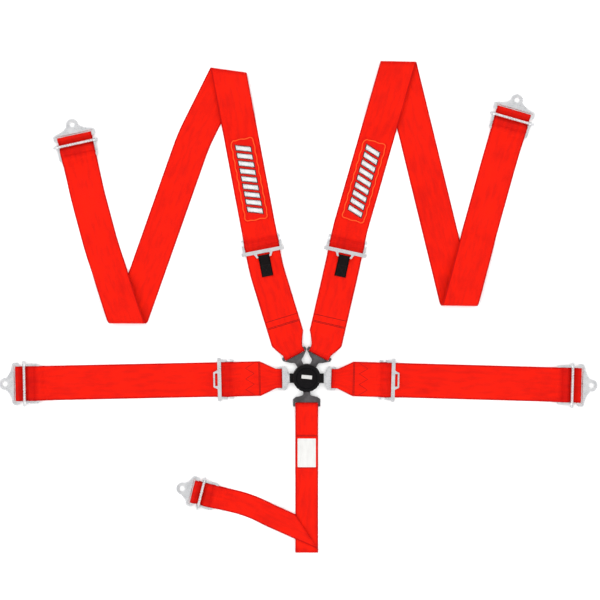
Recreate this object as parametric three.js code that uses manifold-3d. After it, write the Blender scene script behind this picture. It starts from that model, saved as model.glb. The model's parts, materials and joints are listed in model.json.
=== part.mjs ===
// A five-point racing harness, laid out flat with its shoulder belts and crotch belt folded back.
//
// Millimetres, +Z up. The origin is the centre of the buckle's flat back face, which rests on the
// same surface as the webbing. +X runs along the lap belts to the viewer's right, +Y towards the
// top folds of the shoulder belts.
//
// Every belt is one length of webbing. It starts where it is sewn round a bar, goes round its
// tongue and back through its adjuster, is folded, passes its three-bar slide, goes round the
// base bar of its anchor bracket and comes back through the slide as a short tail. The webbing is
// drawn from its side profile: corners (distance along the belt, height of the middle of the
// webbing), each rounded by a radius. A fold whose crease is skewed also turns the belt in plan.

import * as THREE from 'three';
import { mergeVertices } from 'three/addons/utils/BufferGeometryUtils.js';
import Module from 'manifold-3d';

const wasm = await Module();
wasm.setup();

// ---------------------------------------------------------------- driving dimensions

const RUN = 0.3; // gap kept between pieces that touch
const WEBBING = 2; // thickness of all webbing
const HALF_WEB = WEBBING / 2;
const LAYER = WEBBING + RUN; // height from one layer of webbing to the next
const FLOOR_LAYER = HALF_WEB; // height of the middle of webbing that lies on the floor
const SECOND_LAYER = FLOOR_LAYER + LAYER;

// Half the width of the webbing, half its width where it is gathered at the tongue's bar, and
// how far from that bar it has its full width again.
const SHOULDER = { half: 38, tongueHalf: 24, gather: 38 };
const LAP = { half: 38, tongueHalf: 21, gather: 44 };
const CROTCH = { half: 25, tongueHalf: 25, gather: 40 };
const EDGE_GAP = 0.8; // from the edge of the webbing to the hardware beside it

const PLATE = 3; // thickness of the tongues and anchor brackets
const BAR = 6; // width of a tongue's or bracket's bar
const BAR_LOOP = Math.hypot(BAR, PLATE) / 2 + RUN + HALF_WEB; // radius of webbing round such a bar

const BUCKLE = { base: 31, baseHeight: 2.5, outer: 29, wall: 4, ceiling: 17, top: 19 };
const TONGUE_HEIGHT = 6.5; // middle of the tongues above the floor
const TONGUE = {
  reach: 60, // from the buckle's centre to the bar
  tip: 13,
  tipHalf: 5.8,
  shankFrom: 21,
  shank: 7.6, // half the width of the part that enters the buckle
  rail: 4.2,
  pinHole: 3.4,
};
// How each tongue's plate widens: from its shank, through a knee, to its full width.
const FLARE = {
  shoulder: { from: 37, knee: 44, kneeHalf: 14.5, full: 56 },
  lap: { from: 39, knee: 43, kneeHalf: 21, full: 46 },
  crotch: { from: 36, knee: 42, kneeHalf: 24, full: 47 },
};
const PIN = { circle: 20, shaft: 2.6, head: 4, tip: 8.3, headAt: 13, headTop: 14.2 };
const KNOB = { radius: 30, bottom: 19.3, height: 9, sleeve: 7, recess: 22.5, recessDepth: 1.4 };
const POST = 4; // radius of the centre post that the knob turns on
const CAM = { bottom: 11.3, top: 12.6, root: 13.5, lobe: 16.9 };
const GUIDE = { bottom: 9, top: 11 };
const SPRING = { turns: 2, wire: 0.45, radius: 10.4, rise: 2.6, facets: 16 };

const UNDER_BAR = 0.5; // from the webbing to the adjuster's bar over it
const ADJUSTER = {
  bar: 4,
  barBottom: SECOND_LAYER + HALF_WEB + UNDER_BAR,
  barHeight: 2.8,
  length: 47.5,
  rail: 4.8,
  middle: 17,
};
const MIDDLE_BAR = { half: 2.1, height: 2.5 };
const REAR_BAR = { near: 26.5, far: 32, bottom: 0.3, height: 2.5 };
const SEWN_STUB = 2.2;
const SEWN_SLACK = 0.15; // the sewn loop is a little loose, so that the adjuster tilts freely in it
const SEWN_LOOP = Math.hypot(MIDDLE_BAR.half, MIDDLE_BAR.height / 2) + RUN + HALF_WEB + SEWN_SLACK;
const OVER_REAR = REAR_BAR.bottom + REAR_BAR.height + 2 * RUN + HALF_WEB; // webbing on the rear bar
const LUG = { rise: 2.4, axis: 11.5, end: 13.6, half: 21, slotHalf: 14, slot: 6, rail: 3.6 };

const SLIDE = { middle: 16, middleHalf: 2.5, rearNear: 27, rearFar: 33, plate: 2.5, rail: 4.7 };
const SLIDE_PLATE = SECOND_LAYER + HALF_WEB + 0.4; // underside of the slide's frame
const LOCK_BAR = { radius: 3.5, overhang: 6.5 };
const ANCHOR_BAR = 14.5; // from the slide's lock bar to the bracket's base bar
const BRACKET = { hole: 29, holeRadius: 5.7, lobe: 13.5, slotOuter: 8.6, side: 6, shoulder: 13 };

const SOFT_FOLD = 3.2; // radius of the shoulder belts' first folds
const LOOSE_FOLD = 9; // radius of their second folds
const TIGHT_FOLD = 1.6; // radius of the crotch belt's folds
const RAMP = 24; // length over which the upper run of a fold comes down to the floor
const CURVE = 60; // length over which the second and third runs of a shoulder belt swing
const TAIL = 50; // how far the tail reaches back from the lock bar

const TAB = { half: 12.5, cloth: 1.2, length: 44 };
const PATCH = { length: 185, width: 55, thickness: 0.8, corner: 3 };
const PATCH_AT = 161; // from the adjuster's bar to the middle of the patch
const PATCH_END = PATCH_AT + PATCH.length / 2;
const LABEL = { length: 63, width: 40, thickness: 0.3, corner: 1 };
const LABEL_AT = 105; // from the tongue's bar to the middle of the label

// Where each belt's slot faces on the buckle (degrees from +X) and how its webbing runs. A turn
// is how much the belt swings to the left of its own way along its upper face, in degrees, and a
// skew is half of how much a fold does. A fold gap is from the patch's end to where the first
// fold's ramp begins.
const BELTS = [
  {
    name: 'shoulder_left',
    kind: 'shoulder',
    slot: 117.6,
    web: SHOULDER,
    adjusterAt: 235,
    towardRear: false,
    tongueTurn: -10.6,
    adjusterTurn: -6,
    patchTurn: -0.3,
    foldGap: 22.6,
    foldSkew: -18.6,
    secondRun: 584,
    runTurn: -7.1,
    secondSkew: -19.2,
    thirdRun: 400,
    thirdTurn: -4,
    endTurn: -2.6,
  },
  {
    name: 'shoulder_right',
    kind: 'shoulder',
    slot: 62,
    web: SHOULDER,
    adjusterAt: 231,
    towardRear: false,
    tongueTurn: 15,
    adjusterTurn: 0.8,
    patchTurn: -3.9,
    foldGap: 21.7,
    foldSkew: 14.9,
    secondRun: 538,
    runTurn: 0,
    secondSkew: 14.6,
    thirdRun: 416,
    thirdTurn: 0,
    endTurn: -0.6,
  },
  {
    name: 'lap_left',
    kind: 'lap',
    slot: 181.2,
    web: LAP,
    adjusterAt: 131.6,
    towardRear: true,
    slideAt: 559.5,
  },
  {
    name: 'lap_right',
    kind: 'lap',
    slot: -1.6,
    web: LAP,
    adjusterAt: 130,
    towardRear: true,
    slideAt: 523,
  },
  {
    name: 'crotch',
    kind: 'crotch',
    slot: 270,
    web: CROTCH,
    hem: 145,
    firstFold: 322,
    secondFold: 40,
    foldSkew: 57,
    slideAt: 242,
    endTurn: 10,
  },
];

// ---------------------------------------------------------------- materials

const material = (color, roughness, metalness) =>
  new THREE.MeshStandardMaterial({ color, roughness, metalness });
const RED_WEBBING = material(0xd8160f, 0.85, 0);
const BLACK_WEBBING = material(0x151515, 0.9, 0);
const BLACK_PLASTIC = material(0x101012, 0.4, 0);
const BLACK_STEEL = material(0x1a1a1c, 0.45, 0.8);
const BRIGHT_STEEL = material(0xd9dbde, 0.22, 1);
const PATCH_CLOTH = material(0xc8150f, 0.8, 0);
const LABEL_CLOTH = material(0xf2f1ec, 0.8, 0);

const group = new THREE.Group();

function piece(name, geometry, look, parent) {
  const mesh = new THREE.Mesh(geometry, look);
  mesh.name = name;
  parent.add(mesh);
  return mesh;
}

// ---------------------------------------------------------------- solids

const ARC_STEPS = 2; // an arc gets twice as many facets

function toSolid(geometry) {
  const bare = new THREE.BufferGeometry();
  bare.setAttribute('position', geometry.getAttribute('position'));
  if (geometry.index) bare.setIndex(geometry.index);
  const merged = mergeVertices(bare, 1e-4);
  const mesh = new wasm.Mesh({
    numProp: 3,
    vertProperties: new Float32Array(merged.getAttribute('position').array),
    triVerts: new Uint32Array(merged.index.array),
  });
  return new wasm.Manifold(mesh);
}

function toGeometry(solid) {
  const mesh = solid.getMesh();
  const geometry = new THREE.BufferGeometry();
  geometry.setAttribute('position', new THREE.BufferAttribute(mesh.vertProperties, 3));
  geometry.setIndex(new THREE.BufferAttribute(mesh.triVerts, 1));
  return geometry;
}

function join(...geometries) {
  const solids = geometries.map(toSolid);
  return toGeometry(solids.slice(1).reduce((sum, solid) => sum.add(solid), solids[0]));
}

function cut(geometry, ...tools) {
  return toGeometry(tools.reduce((rest, tool) => rest.subtract(toSolid(tool)), toSolid(geometry)));
}

// A box given by its lowest and highest corners.
function box(x0, y0, z0, x1, y1, z1) {
  const geometry = new THREE.BoxGeometry(x1 - x0, y1 - y0, z1 - z0);
  return geometry.translate((x0 + x1) / 2, (y0 + y1) / 2, (z0 + z1) / 2);
}

// An upright cylinder.
function post(radius, z0, z1, x = 0, y = 0, sides = 18) {
  const geometry = new THREE.CylinderGeometry(radius, radius, z1 - z0, sides);
  return geometry.rotateX(Math.PI / 2).translate(x, y, (z0 + z1) / 2);
}

// An outline, made into a plate of that depth from z = 0 up.
function extruded(shape, depth, curveSegments) {
  return new THREE.ExtrudeGeometry(shape, { depth, bevelEnabled: false, curveSegments });
}

// A flat outline in x and y, made into a plate from z0 to z1.
function plate(shape, z0, z1, curveSegments = ARC_STEPS) {
  return extruded(shape, z1 - z0, curveSegments).translate(0, 0, z0);
}

// An outline in x and z, made into a slab from y0 to y1.
function slab(shape, y0, y1, curveSegments = ARC_STEPS) {
  return extruded(shape, y1 - y0, curveSegments).rotateX(Math.PI / 2).translate(0, y1, 0);
}

// A patch or label: a thin plate with rounded corners, centred on x = 0 and y = 0.
function clothGeometry({ length, width, thickness, corner }, low) {
  const outline = roundedRectangle(-length / 2, -width / 2, length / 2, width / 2, corner);
  return plate(outline, low, low + thickness);
}

function roundedRectangle(x0, y0, x1, y1, radius) {
  const shape = new THREE.Shape();
  shape.absarc(x1 - radius, y1 - radius, radius, 0, Math.PI / 2);
  shape.absarc(x0 + radius, y1 - radius, radius, Math.PI / 2, Math.PI);
  shape.absarc(x0 + radius, y0 + radius, radius, Math.PI, 1.5 * Math.PI);
  shape.absarc(x1 - radius, y0 + radius, radius, 1.5 * Math.PI, 2 * Math.PI);
  shape.closePath();
  return shape;
}

function circleHole(x, y, radius) {
  const hole = new THREE.Path();
  const quarter = Math.PI / 2;
  for (let k = 4; k > 0; k -= 1) hole.absarc(x, y, radius, k * quarter, (k - 1) * quarter, true);
  return hole;
}

// ---------------------------------------------------------------- webbing

const radians = THREE.MathUtils.degToRad;
const BEND_STEP = radians(31); // widest facet of a rounded bend
const TURN_STEPS = 4; // facets of a stretch that swings in plan

// Unrolls a side profile into a flat layout: a centre line in plan, and the bands in it that
// bend. Each corner is { q, z, r, half, skew, turn, mark }: turn swings the stretch after it.
function unroll(corners) {
  const heading = (a, b) => Math.atan2(b.z - a.z, b.q - a.q);
  const layout = { stretches: [], bends: [], rows: [], marks: {} };
  const at = { s: 0, x: 0, y: 0, beta: 0 };

  const advance = (length, turn) => {
    const curve = length > 0 ? turn / length : 0;
    layout.stretches.push({ ...at, length, curve });
    Object.assign(at, centreOf(layout, at.s + length));
  };

  corners.forEach((corner, i) => {
    const before = corners[i - 1];
    const after = corners[i + 1];
    let angle = 0;
    if (before && after) {
      const raw = heading(corner, after) - heading(before, corner);
      angle = Math.atan2(Math.sin(raw), Math.cos(raw));
    }
    if (Math.abs(angle) < 1e-6) angle = 0;
    const radius = corner.r ?? 0;
    corner.tangent = radius * Math.tan(Math.abs(angle) / 2);
    if (before) {
      const span = Math.hypot(corner.q - before.q, corner.z - before.z);
      const length = span - before.tangent - corner.tangent;
      if (length < -1e-6) throw new Error(`the bends at ${before.q} and ${corner.q} meet`);
      const turn = radians(before.turn ?? 0);
      for (let k = 1; turn && k < TURN_STEPS; k += 1) {
        const t = k / TURN_STEPS;
        const half = THREE.MathUtils.lerp(before.half, corner.half, t);
        const skew = radians(THREE.MathUtils.lerp(before.skew ?? 0, corner.skew ?? 0, t));
        layout.rows.push({ s: at.s + length * t, skew, half });
      }
      advance(length, turn);
    }
    const skew = radians(corner.skew ?? 0);
    const start = at.s;
    const arc = radius * Math.abs(angle);
    if (angle) {
      layout.bends.push({ ...at, angle, radius, arc, skew });
      advance(arc / Math.cos(skew), 0);
    }
    const steps = angle ? Math.max(1, Math.ceil(Math.abs(angle) / BEND_STEP)) : 0;
    for (let k = 0; k <= steps; k += 1) {
      const s = steps ? start + ((at.s - start) * k) / steps : start;
      layout.rows.push({ s, skew, half: corner.half });
    }
    if (corner.mark) layout.marks[corner.mark] = (start + at.s) / 2;
  });

  const first = heading(corners[0], corners[1]);
  layout.start = new THREE.Matrix4().makeBasis(
    new THREE.Vector3(Math.cos(first), 0, Math.sin(first)),
    new THREE.Vector3(0, 1, 0),
    new THREE.Vector3(-Math.sin(first), 0, Math.cos(first)),
  );
  layout.start.setPosition(corners[0].q, 0, corners[0].z);
  return layout;
}

// The centre line's place and heading in the flat layout, at a length along it.
function centreOf(layout, s) {
  const stretch = layout.stretches.findLast((one) => one.s <= s + 1e-9) ?? layout.stretches[0];
  const run = s - stretch.s;
  const beta = stretch.beta + stretch.curve * run;
  if (stretch.curve === 0) {
    const x = stretch.x + run * Math.cos(beta);
    return { s, x, y: stretch.y + run * Math.sin(beta), beta };
  }
  const x = stretch.x + (Math.sin(beta) - Math.sin(stretch.beta)) / stretch.curve;
  return { s, x, y: stretch.y - (Math.cos(beta) - Math.cos(stretch.beta)) / stretch.curve, beta };
}

// Bends a point of the layout round one band. A point in the band turns with it, and one that is
// wholly past it is swung round rigidly.
function bendPoint(point, bend, whollyPast) {
  const across = bend.beta + bend.skew;
  const f = new THREE.Vector3(Math.cos(across), Math.sin(across), 0);
  const e = new THREE.Vector3(-Math.sin(across), Math.cos(across), 0);
  const offset = new THREE.Vector3(point.x - bend.x, point.y - bend.y, 0);
  const distance = offset.dot(f);
  const side = Math.sign(bend.angle);
  const full = Math.abs(bend.angle);
  const angle = whollyPast ? full : THREE.MathUtils.clamp(distance / bend.radius, 0, full);
  const rest = distance - angle * bend.radius;
  const sine = Math.sin(angle);
  const cosine = Math.cos(angle);
  const forward = bend.radius * sine + rest * cosine - side * point.z * sine;
  const up = side * (bend.radius * (1 - cosine) + rest * sine) + point.z * cosine;
  return new THREE.Vector3(bend.x, bend.y, up)
    .addScaledVector(f, forward)
    .addScaledVector(e, offset.dot(e));
}

// Folds a point of the layout, at a length s along it, into its place on the belt.
function foldPoint(layout, s, point) {
  const [last, ...earlier] = layout.bends.filter((bend) => bend.s <= s + 1e-6).reverse();
  let place = last ? bendPoint(point, last, false) : point.clone();
  for (const bend of earlier) place = bendPoint(place, bend, true);
  return place.applyMatrix4(layout.start);
}

// Where a mark lies on the belt, and the belt's heading there in plan.
function markPlace(layout, name) {
  const centre = centreOf(layout, layout.marks[name]);
  const here = foldPoint(layout, centre.s, new THREE.Vector3(centre.x, centre.y, 0));
  const forward = new THREE.Vector3(Math.cos(centre.beta), Math.sin(centre.beta), 0);
  const ahead = new THREE.Vector3(centre.x, centre.y, 0).add(forward);
  const next = foldPoint(layout, centre.s, ahead);
  const heading = Math.atan2(next.y - here.y, next.x - here.x);
  return { x: here.x, y: here.y, z: here.z, heading };
}

// The closed solid of the webbing: four corners at each row, joined to the next row.
function webbingGeometry(layout, thickness) {
  const rows = layout.rows.filter((row, i, all) => i === 0 || row.s - all[i - 1].s > 1e-4);
  const positions = [];
  for (const { s, skew, half } of rows) {
    const centre = centreOf(layout, s);
    for (const [side, face] of [[1, 1], [-1, 1], [-1, -1], [1, -1]]) {
      const along = -side * half * Math.tan(skew);
      const x = centre.x + along * Math.cos(centre.beta) - side * half * Math.sin(centre.beta);
      const y = centre.y + along * Math.sin(centre.beta) + side * half * Math.cos(centre.beta);
      const place = foldPoint(layout, s, new THREE.Vector3(x, y, (face * thickness) / 2));
      positions.push(place.x, place.y, place.z);
    }
  }
  const index = [0, 2, 1, 0, 3, 2];
  for (let i = 0; i + 1 < rows.length; i += 1) {
    for (let k = 0; k < 4; k += 1) {
      const a = 4 * i + k;
      const b = 4 * i + ((k + 1) % 4);
      index.push(a, b, a + 4, b, b + 4, a + 4);
    }
  }
  const last = 4 * (rows.length - 1);
  index.push(last, last + 1, last + 2, last, last + 2, last + 3);
  const geometry = new THREE.BufferGeometry();
  geometry.setAttribute('position', new THREE.Float32BufferAttribute(positions, 3));
  geometry.setIndex(index);
  return geometry;
}

// A half turn round a bar or into a fold, as two square corners.
function halfTurn(q, fromZ, toZ, way, options) {
  const r = Math.abs(toZ - fromZ) / 2;
  return [
    { q: q + way * r, z: fromZ, r, ...options },
    { q: q + way * r, z: toZ, r, ...options },
  ];
}

// The sewn end round an adjuster's middle bar: a stub on the tongue's side of the bar, over the
// top and back below it.
function sewnEnd(q, half) {
  const turn = SEWN_LOOP * Math.tan(Math.PI / 8);
  const top = FLOOR_LAYER + 2 * SEWN_LOOP;
  const diagonal = (turn + SEWN_STUB) * Math.SQRT1_2;
  return [
    { q: q - turn - diagonal, z: top - diagonal, half },
    { q: q - turn, z: top, r: SEWN_LOOP, half },
    ...halfTurn(q, top, FLOOR_LAYER, 1, { half }),
  ];
}

// Round the tongue's bar, from the lower layer to the upper one. The belt swings where it is
// gathered: the bends at both ends of that slope stay parallel to the bar, so it lies flat after.
function tongueLoop(web, turn) {
  const low = TONGUE_HEIGHT - BAR_LOOP;
  const high = TONGUE_HEIGHT + BAR_LOOP;
  const { half, tongueHalf, gather } = web;
  return [
    { q: gather, z: FLOOR_LAYER, r: 30, half, skew: turn, turn },
    { q: BAR + 2, z: low, r: 30, half: tongueHalf },
    ...halfTurn(0, low, high, -1, { half: tongueHalf }),
    { q: 0, z: high, half: tongueHalf, mark: 'tongue' },
    { q: BAR, z: high, r: 10, half: tongueHalf, turn },
    { q: gather, z: SECOND_LAYER, r: 20, half, skew: -turn },
  ];
}

// Over the sewn end and under the adjuster's bar. Distances are from the bar, in the adjuster's
// own direction, so the list is reversed where the adjuster faces the other way. Their odd
// millimetres leave the webbing room to bend before and after each bar.
function throughAdjuster(at, towardRear, half) {
  const crest = FLOOR_LAYER + 2 * SEWN_LOOP + LAYER;
  const rearTop = towardRear ? OVER_REAR + LAYER : OVER_REAR;
  const path = [
    { a: 1.6 + ADJUSTER.bar, z: SECOND_LAYER, r: 3 },
    { a: ADJUSTER.middle - 2.8, z: crest, r: 4 },
    { a: ADJUSTER.middle + 3.3, z: crest, r: 4 },
    { a: REAR_BAR.near + 1.2, z: rearTop, r: 4 },
    { a: REAR_BAR.far + 1.5, z: rearTop, r: 10 },
  ];
  const way = towardRear ? -1 : 1;
  const placed = path.map(({ a, z, r }) => ({ q: at + way * a, z, r, half }));
  return towardRear ? placed.reverse() : placed;
}

// Through the three-bar slide, round the bracket's base bar and back as a tail. Each distance is
// from the lock bar, and the odd millimetres leave the webbing room to bend round each bar.
function anchorEnd(at, half) {
  const plateTop = SLIDE_PLATE + SLIDE.plate;
  const overBar = plateTop + RUN + HALF_WEB;
  const top = FLOOR_LAYER + 2 * BAR_LOOP;
  const e = (distance, z, r, mark) => ({ q: at + distance, z, r, half, mark });
  return [
    e(-TAIL - 18, FLOOR_LAYER, 30),
    e(-TAIL - 3, SECOND_LAYER, 20),
    e(-SLIDE.rearFar - 12, SECOND_LAYER, 10),
    e(-SLIDE.rearFar - 1, overBar, 6),
    e(-SLIDE.middle - 7, overBar, 3),
    e(-SLIDE.middle - 4.2, overBar + LAYER, 3),
    e(-SLIDE.middle + 4.27, overBar + LAYER, 3.5),
    e(-5, SECOND_LAYER, 3),
    e(0, SECOND_LAYER, 0, 'slide'),
    e(5.5, SECOND_LAYER, 2.5),
    e(ANCHOR_BAR - 1.8, top, 4),
    ...halfTurn(at + ANCHOR_BAR, top, FLOOR_LAYER, 1, { half }),
    e(-6, FLOOR_LAYER, 2.3),
    e(-SLIDE.middle + 3.25, overBar, 2.3),
    e(-SLIDE.middle - 3.3, overBar, 2.3),
    e(-SLIDE.middle - 9.5, SECOND_LAYER - 0.7, 2.3),
    e(-SLIDE.rearFar - 3, FLOOR_LAYER, 10),
    e(-TAIL, FLOOR_LAYER, 0),
  ];
}

// The shoulder and lap belts' lower layer starts where it is sewn round the adjuster's middle
// bar. On a lap belt the adjuster faces away from the tongue, so the layer also crosses its rear
// bar.
function sewnLayer(belt) {
  const { half } = belt.web;
  const { adjusterAt } = belt;
  if (!belt.towardRear) return sewnEnd(adjusterAt + ADJUSTER.middle, half);
  const loopAt = adjusterAt - ADJUSTER.middle;
  return [
    ...sewnEnd(loopAt, half),
    { q: loopAt - 3, z: FLOOR_LAYER, r: 3, half },
    { q: adjusterAt - REAR_BAR.near + 0.8, z: OVER_REAR, r: 4, half },
    { q: adjusterAt - REAR_BAR.far - 1.5, z: OVER_REAR, r: 10, half },
    { q: adjusterAt - REAR_BAR.far - 14, z: FLOOR_LAYER, r: 20, half },
  ];
}

// How far from a skewed fold the last of its two runs' crossing lies.
function crossing(half, skew) {
  return half / Math.tan(radians(Math.abs(skew)));
}

function shoulderProfile(belt) {
  const { half } = belt.web;
  const lug = belt.adjusterAt - LUG.end - 6;
  const steer = belt.adjusterTurn;
  const raised = FLOOR_LAYER + 2 * SOFT_FOLD;
  const looseTop = FLOOR_LAYER + 2 * LOOSE_FOLD;
  const foldCrossing = crossing(half, belt.foldSkew);
  const fold = belt.adjusterAt + PATCH_END + belt.foldGap + RAMP / 2 + foldCrossing;
  const second = fold - belt.secondRun;
  const slide = second + belt.thirdRun;
  const secondCrossing = crossing(half, belt.secondSkew);
  return [
    ...sewnLayer(belt),
    { q: lug, z: FLOOR_LAYER, half, turn: steer },
    { q: lug - 40, z: FLOOR_LAYER, half },
    ...tongueLoop(belt.web, belt.tongueTurn),
    { q: lug - 40, z: SECOND_LAYER, half, turn: steer },
    { q: lug, z: SECOND_LAYER, half },
    { q: belt.adjusterAt, z: SECOND_LAYER, half, mark: 'adjuster' },
    ...throughAdjuster(belt.adjusterAt, false, half),
    { q: belt.adjusterAt + REAR_BAR.far + 12, z: FLOOR_LAYER, r: 10, half, turn: belt.patchTurn },
    { q: belt.adjusterAt + PATCH_AT - PATCH.length / 2 - 4, z: FLOOR_LAYER, half },
    { q: belt.adjusterAt + PATCH_AT, z: FLOOR_LAYER, half, mark: 'patch' },
    { q: fold - foldCrossing - RAMP / 2, z: FLOOR_LAYER, r: 50, half },
    { q: fold - foldCrossing + RAMP / 2, z: raised, r: 50, half },
    ...halfTurn(fold, raised, FLOOR_LAYER, 1, { half, skew: belt.foldSkew }),
    { q: fold - foldCrossing - RAMP, z: FLOOR_LAYER, half, turn: belt.runTurn },
    { q: fold - foldCrossing - RAMP - CURVE, z: FLOOR_LAYER, half },
    { q: second + secondCrossing + RAMP, z: FLOOR_LAYER, half },
    ...halfTurn(second, FLOOR_LAYER, looseTop, -1, { half, skew: belt.secondSkew }),
    { q: second + RAMP, z: looseTop, r: 60, half },
    { q: second + secondCrossing - RAMP / 2, z: raised, r: 50, half },
    { q: second + secondCrossing + RAMP / 2, z: FLOOR_LAYER, r: 50, half },
    { q: second + secondCrossing + RAMP, z: FLOOR_LAYER, half, turn: belt.thirdTurn },
    { q: second + secondCrossing + RAMP + CURVE, z: FLOOR_LAYER, half },
    { q: slide - TAIL - 90, z: FLOOR_LAYER, half, turn: belt.endTurn },
    { q: slide - TAIL - 40, z: FLOOR_LAYER, half },
    ...anchorEnd(slide, half),
  ];
}

function lapProfile(belt) {
  const { half } = belt.web;
  const { adjusterAt } = belt;
  return [
    ...sewnLayer(belt),
    ...tongueLoop(belt.web, 0),
    { q: adjusterAt - REAR_BAR.far - 14, z: SECOND_LAYER, r: 20, half },
    ...throughAdjuster(adjusterAt, true, half),
    { q: adjusterAt, z: SECOND_LAYER, half, mark: 'adjuster' },
    { q: adjusterAt + 8, z: SECOND_LAYER, r: 30, half },
    { q: adjusterAt + 36, z: FLOOR_LAYER, r: 30, half },
    ...anchorEnd(belt.slideAt, half),
  ];
}

function crotchProfile(belt) {
  const { half } = belt.web;
  const second = FLOOR_LAYER + 2 * TIGHT_FOLD;
  const third = second + 2 * TIGHT_FOLD;
  const diagonal = belt.firstFold - belt.secondFold;
  const slide = diagonal + belt.slideAt;
  return [
    { q: belt.hem, z: FLOOR_LAYER, half },
    ...tongueLoop(belt.web, 0),
    { q: LABEL_AT, z: SECOND_LAYER, half, mark: 'label' },
    { q: belt.hem + 4, z: SECOND_LAYER, r: 30, half },
    { q: belt.hem + 20, z: FLOOR_LAYER, r: 30, half },
    ...halfTurn(belt.firstFold, FLOOR_LAYER, second, 1, { half }),
    ...halfTurn(diagonal, second, third, -1, { half, skew: belt.foldSkew }),
    { q: diagonal + 82, z: third, r: 30, half },
    { q: diagonal + 112, z: FLOOR_LAYER, r: 30, half, turn: belt.endTurn },
    { q: slide - TAIL - 30, z: FLOOR_LAYER, half },
    ...anchorEnd(slide, half),
  ];
}

const PROFILES = { shoulder: shoulderProfile, lap: lapProfile, crotch: crotchProfile };

// ---------------------------------------------------------------- belt hardware

// A tongue: its shank points back along -X to the buckle, and its bar lies along Y at x = reach.
function tongueGeometry(web, flare) {
  const { reach, tip, tipHalf, shankFrom, shank, rail, pinHole } = TONGUE;
  const slotHalf = web.tongueHalf + EDGE_GAP;
  const half = slotHalf + rail;
  const end = reach + BAR / 2;
  const shape = new THREE.Shape();
  shape.moveTo(tip, -tipHalf);
  shape.lineTo(shankFrom, -shank);
  shape.lineTo(flare.from, -shank);
  shape.quadraticCurveTo(flare.knee - 2, -shank, flare.knee, -flare.kneeHalf);
  shape.lineTo(flare.full, -half);
  shape.lineTo(end - 2, -half);
  shape.absarc(end - 2, -half + 2, 2, -Math.PI / 2, 0);
  shape.absarc(end - 2, half - 2, 2, 0, Math.PI / 2);
  shape.lineTo(flare.full, half);
  shape.lineTo(flare.knee, flare.kneeHalf);
  shape.quadraticCurveTo(flare.knee - 2, shank, flare.from, shank);
  shape.lineTo(shankFrom, shank);
  shape.lineTo(tip, tipHalf);
  shape.closePath();
  const slotInner = reach - BAR_LOOP - HALF_WEB - RUN;
  shape.holes.push(roundedRectangle(slotInner, -slotHalf, reach - BAR / 2, slotHalf, 1));
  shape.holes.push(circleHole(PIN.circle, 0, pinHole));
  return plate(shape, TONGUE_HEIGHT - PLATE / 2, TONGUE_HEIGHT + PLATE / 2);
}

// An adjuster: its flat bar lies along Y at x = 0 over the webbing, with a slotted lug on the -X
// side. Its side rails slope down to the rear bar, and the webbing is sewn round the middle bar.
function adjusterGeometry(web) {
  const inner = web.half + EDGE_GAP;
  const outer = inner + ADJUSTER.rail;
  const { bar, barBottom, barHeight, length, middle } = ADJUSTER;
  const barTop = barBottom + barHeight;
  const barMiddle = FLOOR_LAYER + SEWN_LOOP;
  const rearMiddle = REAR_BAR.bottom + REAR_BAR.height / 2;
  const rail = new THREE.Shape();
  rail.moveTo(-bar, barBottom);
  rail.lineTo(middle - 4, barMiddle - 2.2);
  rail.lineTo(REAR_BAR.near - 2, REAR_BAR.bottom);
  rail.lineTo(REAR_BAR.far - 1.6, REAR_BAR.bottom);
  rail.absarc(REAR_BAR.far - 1.6, rearMiddle, REAR_BAR.height / 2, -Math.PI / 2, Math.PI / 2);
  rail.lineTo(REAR_BAR.near - 2, REAR_BAR.bottom + REAR_BAR.height + 0.6);
  rail.lineTo(middle + 1, barMiddle + 2.4);
  rail.lineTo(bar, barTop);
  rail.lineTo(-bar, barTop);
  rail.closePath();
  const lug = new THREE.Shape();
  lug.moveTo(2, -LUG.half);
  lug.lineTo(2, LUG.half);
  lug.lineTo(-bar, LUG.half);
  lug.lineTo(-LUG.end + 3, LUG.half - 3.4);
  lug.absarc(-LUG.end + 3, LUG.half - 6.4, 3, Math.PI / 2, Math.PI);
  lug.absarc(-LUG.end + 3, -LUG.half + 6.4, 3, Math.PI, 1.5 * Math.PI);
  lug.lineTo(-bar, -LUG.half);
  lug.closePath();
  const slotEnd = -LUG.end + LUG.rail;
  lug.holes.push(roundedRectangle(slotEnd, -LUG.slotHalf, slotEnd + LUG.slot, LUG.slotHalf, 1.4));
  const slope = Math.atan2(LUG.rise, LUG.axis);
  const raisedLug = plate(lug, -barHeight / 2, barHeight / 2).rotateY(slope);
  raisedLug.translate(0, 0, barBottom + barHeight / 2);
  const lugEye = box(slotEnd, -LUG.slotHalf, 0, slotEnd + LUG.slot, LUG.slotHalf, 20);
  const flatBar = plate(roundedRectangle(-bar, -length, bar, length, 2), barBottom, barTop);
  const reach = inner + 1; // the two cross bars run 1 mm into the rails
  const cross = (x0, z0, x1, z1) => box(x0, -reach, z0, x1, reach, z1);
  const middleBottom = barMiddle - MIDDLE_BAR.height / 2;
  const middleTop = barMiddle + MIDDLE_BAR.height / 2;
  const rearTop = REAR_BAR.bottom + REAR_BAR.height;
  return join(
    cut(flatBar, lugEye),
    raisedLug,
    slab(rail, -outer, -inner),
    slab(rail, inner, outer),
    cross(middle - MIDDLE_BAR.half, middleBottom, middle + MIDDLE_BAR.half, middleTop),
    cross(REAR_BAR.near, REAR_BAR.bottom, REAR_BAR.far, rearTop),
  );
}

// Where the pull tab's loop turns on the adjuster's lug.
const LUG_AXIS_X = -LUG.end + LUG.rail / 2;
const LUG_AXIS_RISE = (-LUG_AXIS_X * LUG.rise) / LUG.axis;
const LUG_AXIS_Z = ADJUSTER.barBottom + ADJUSTER.barHeight / 2 + LUG_AXIS_RISE;

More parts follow.
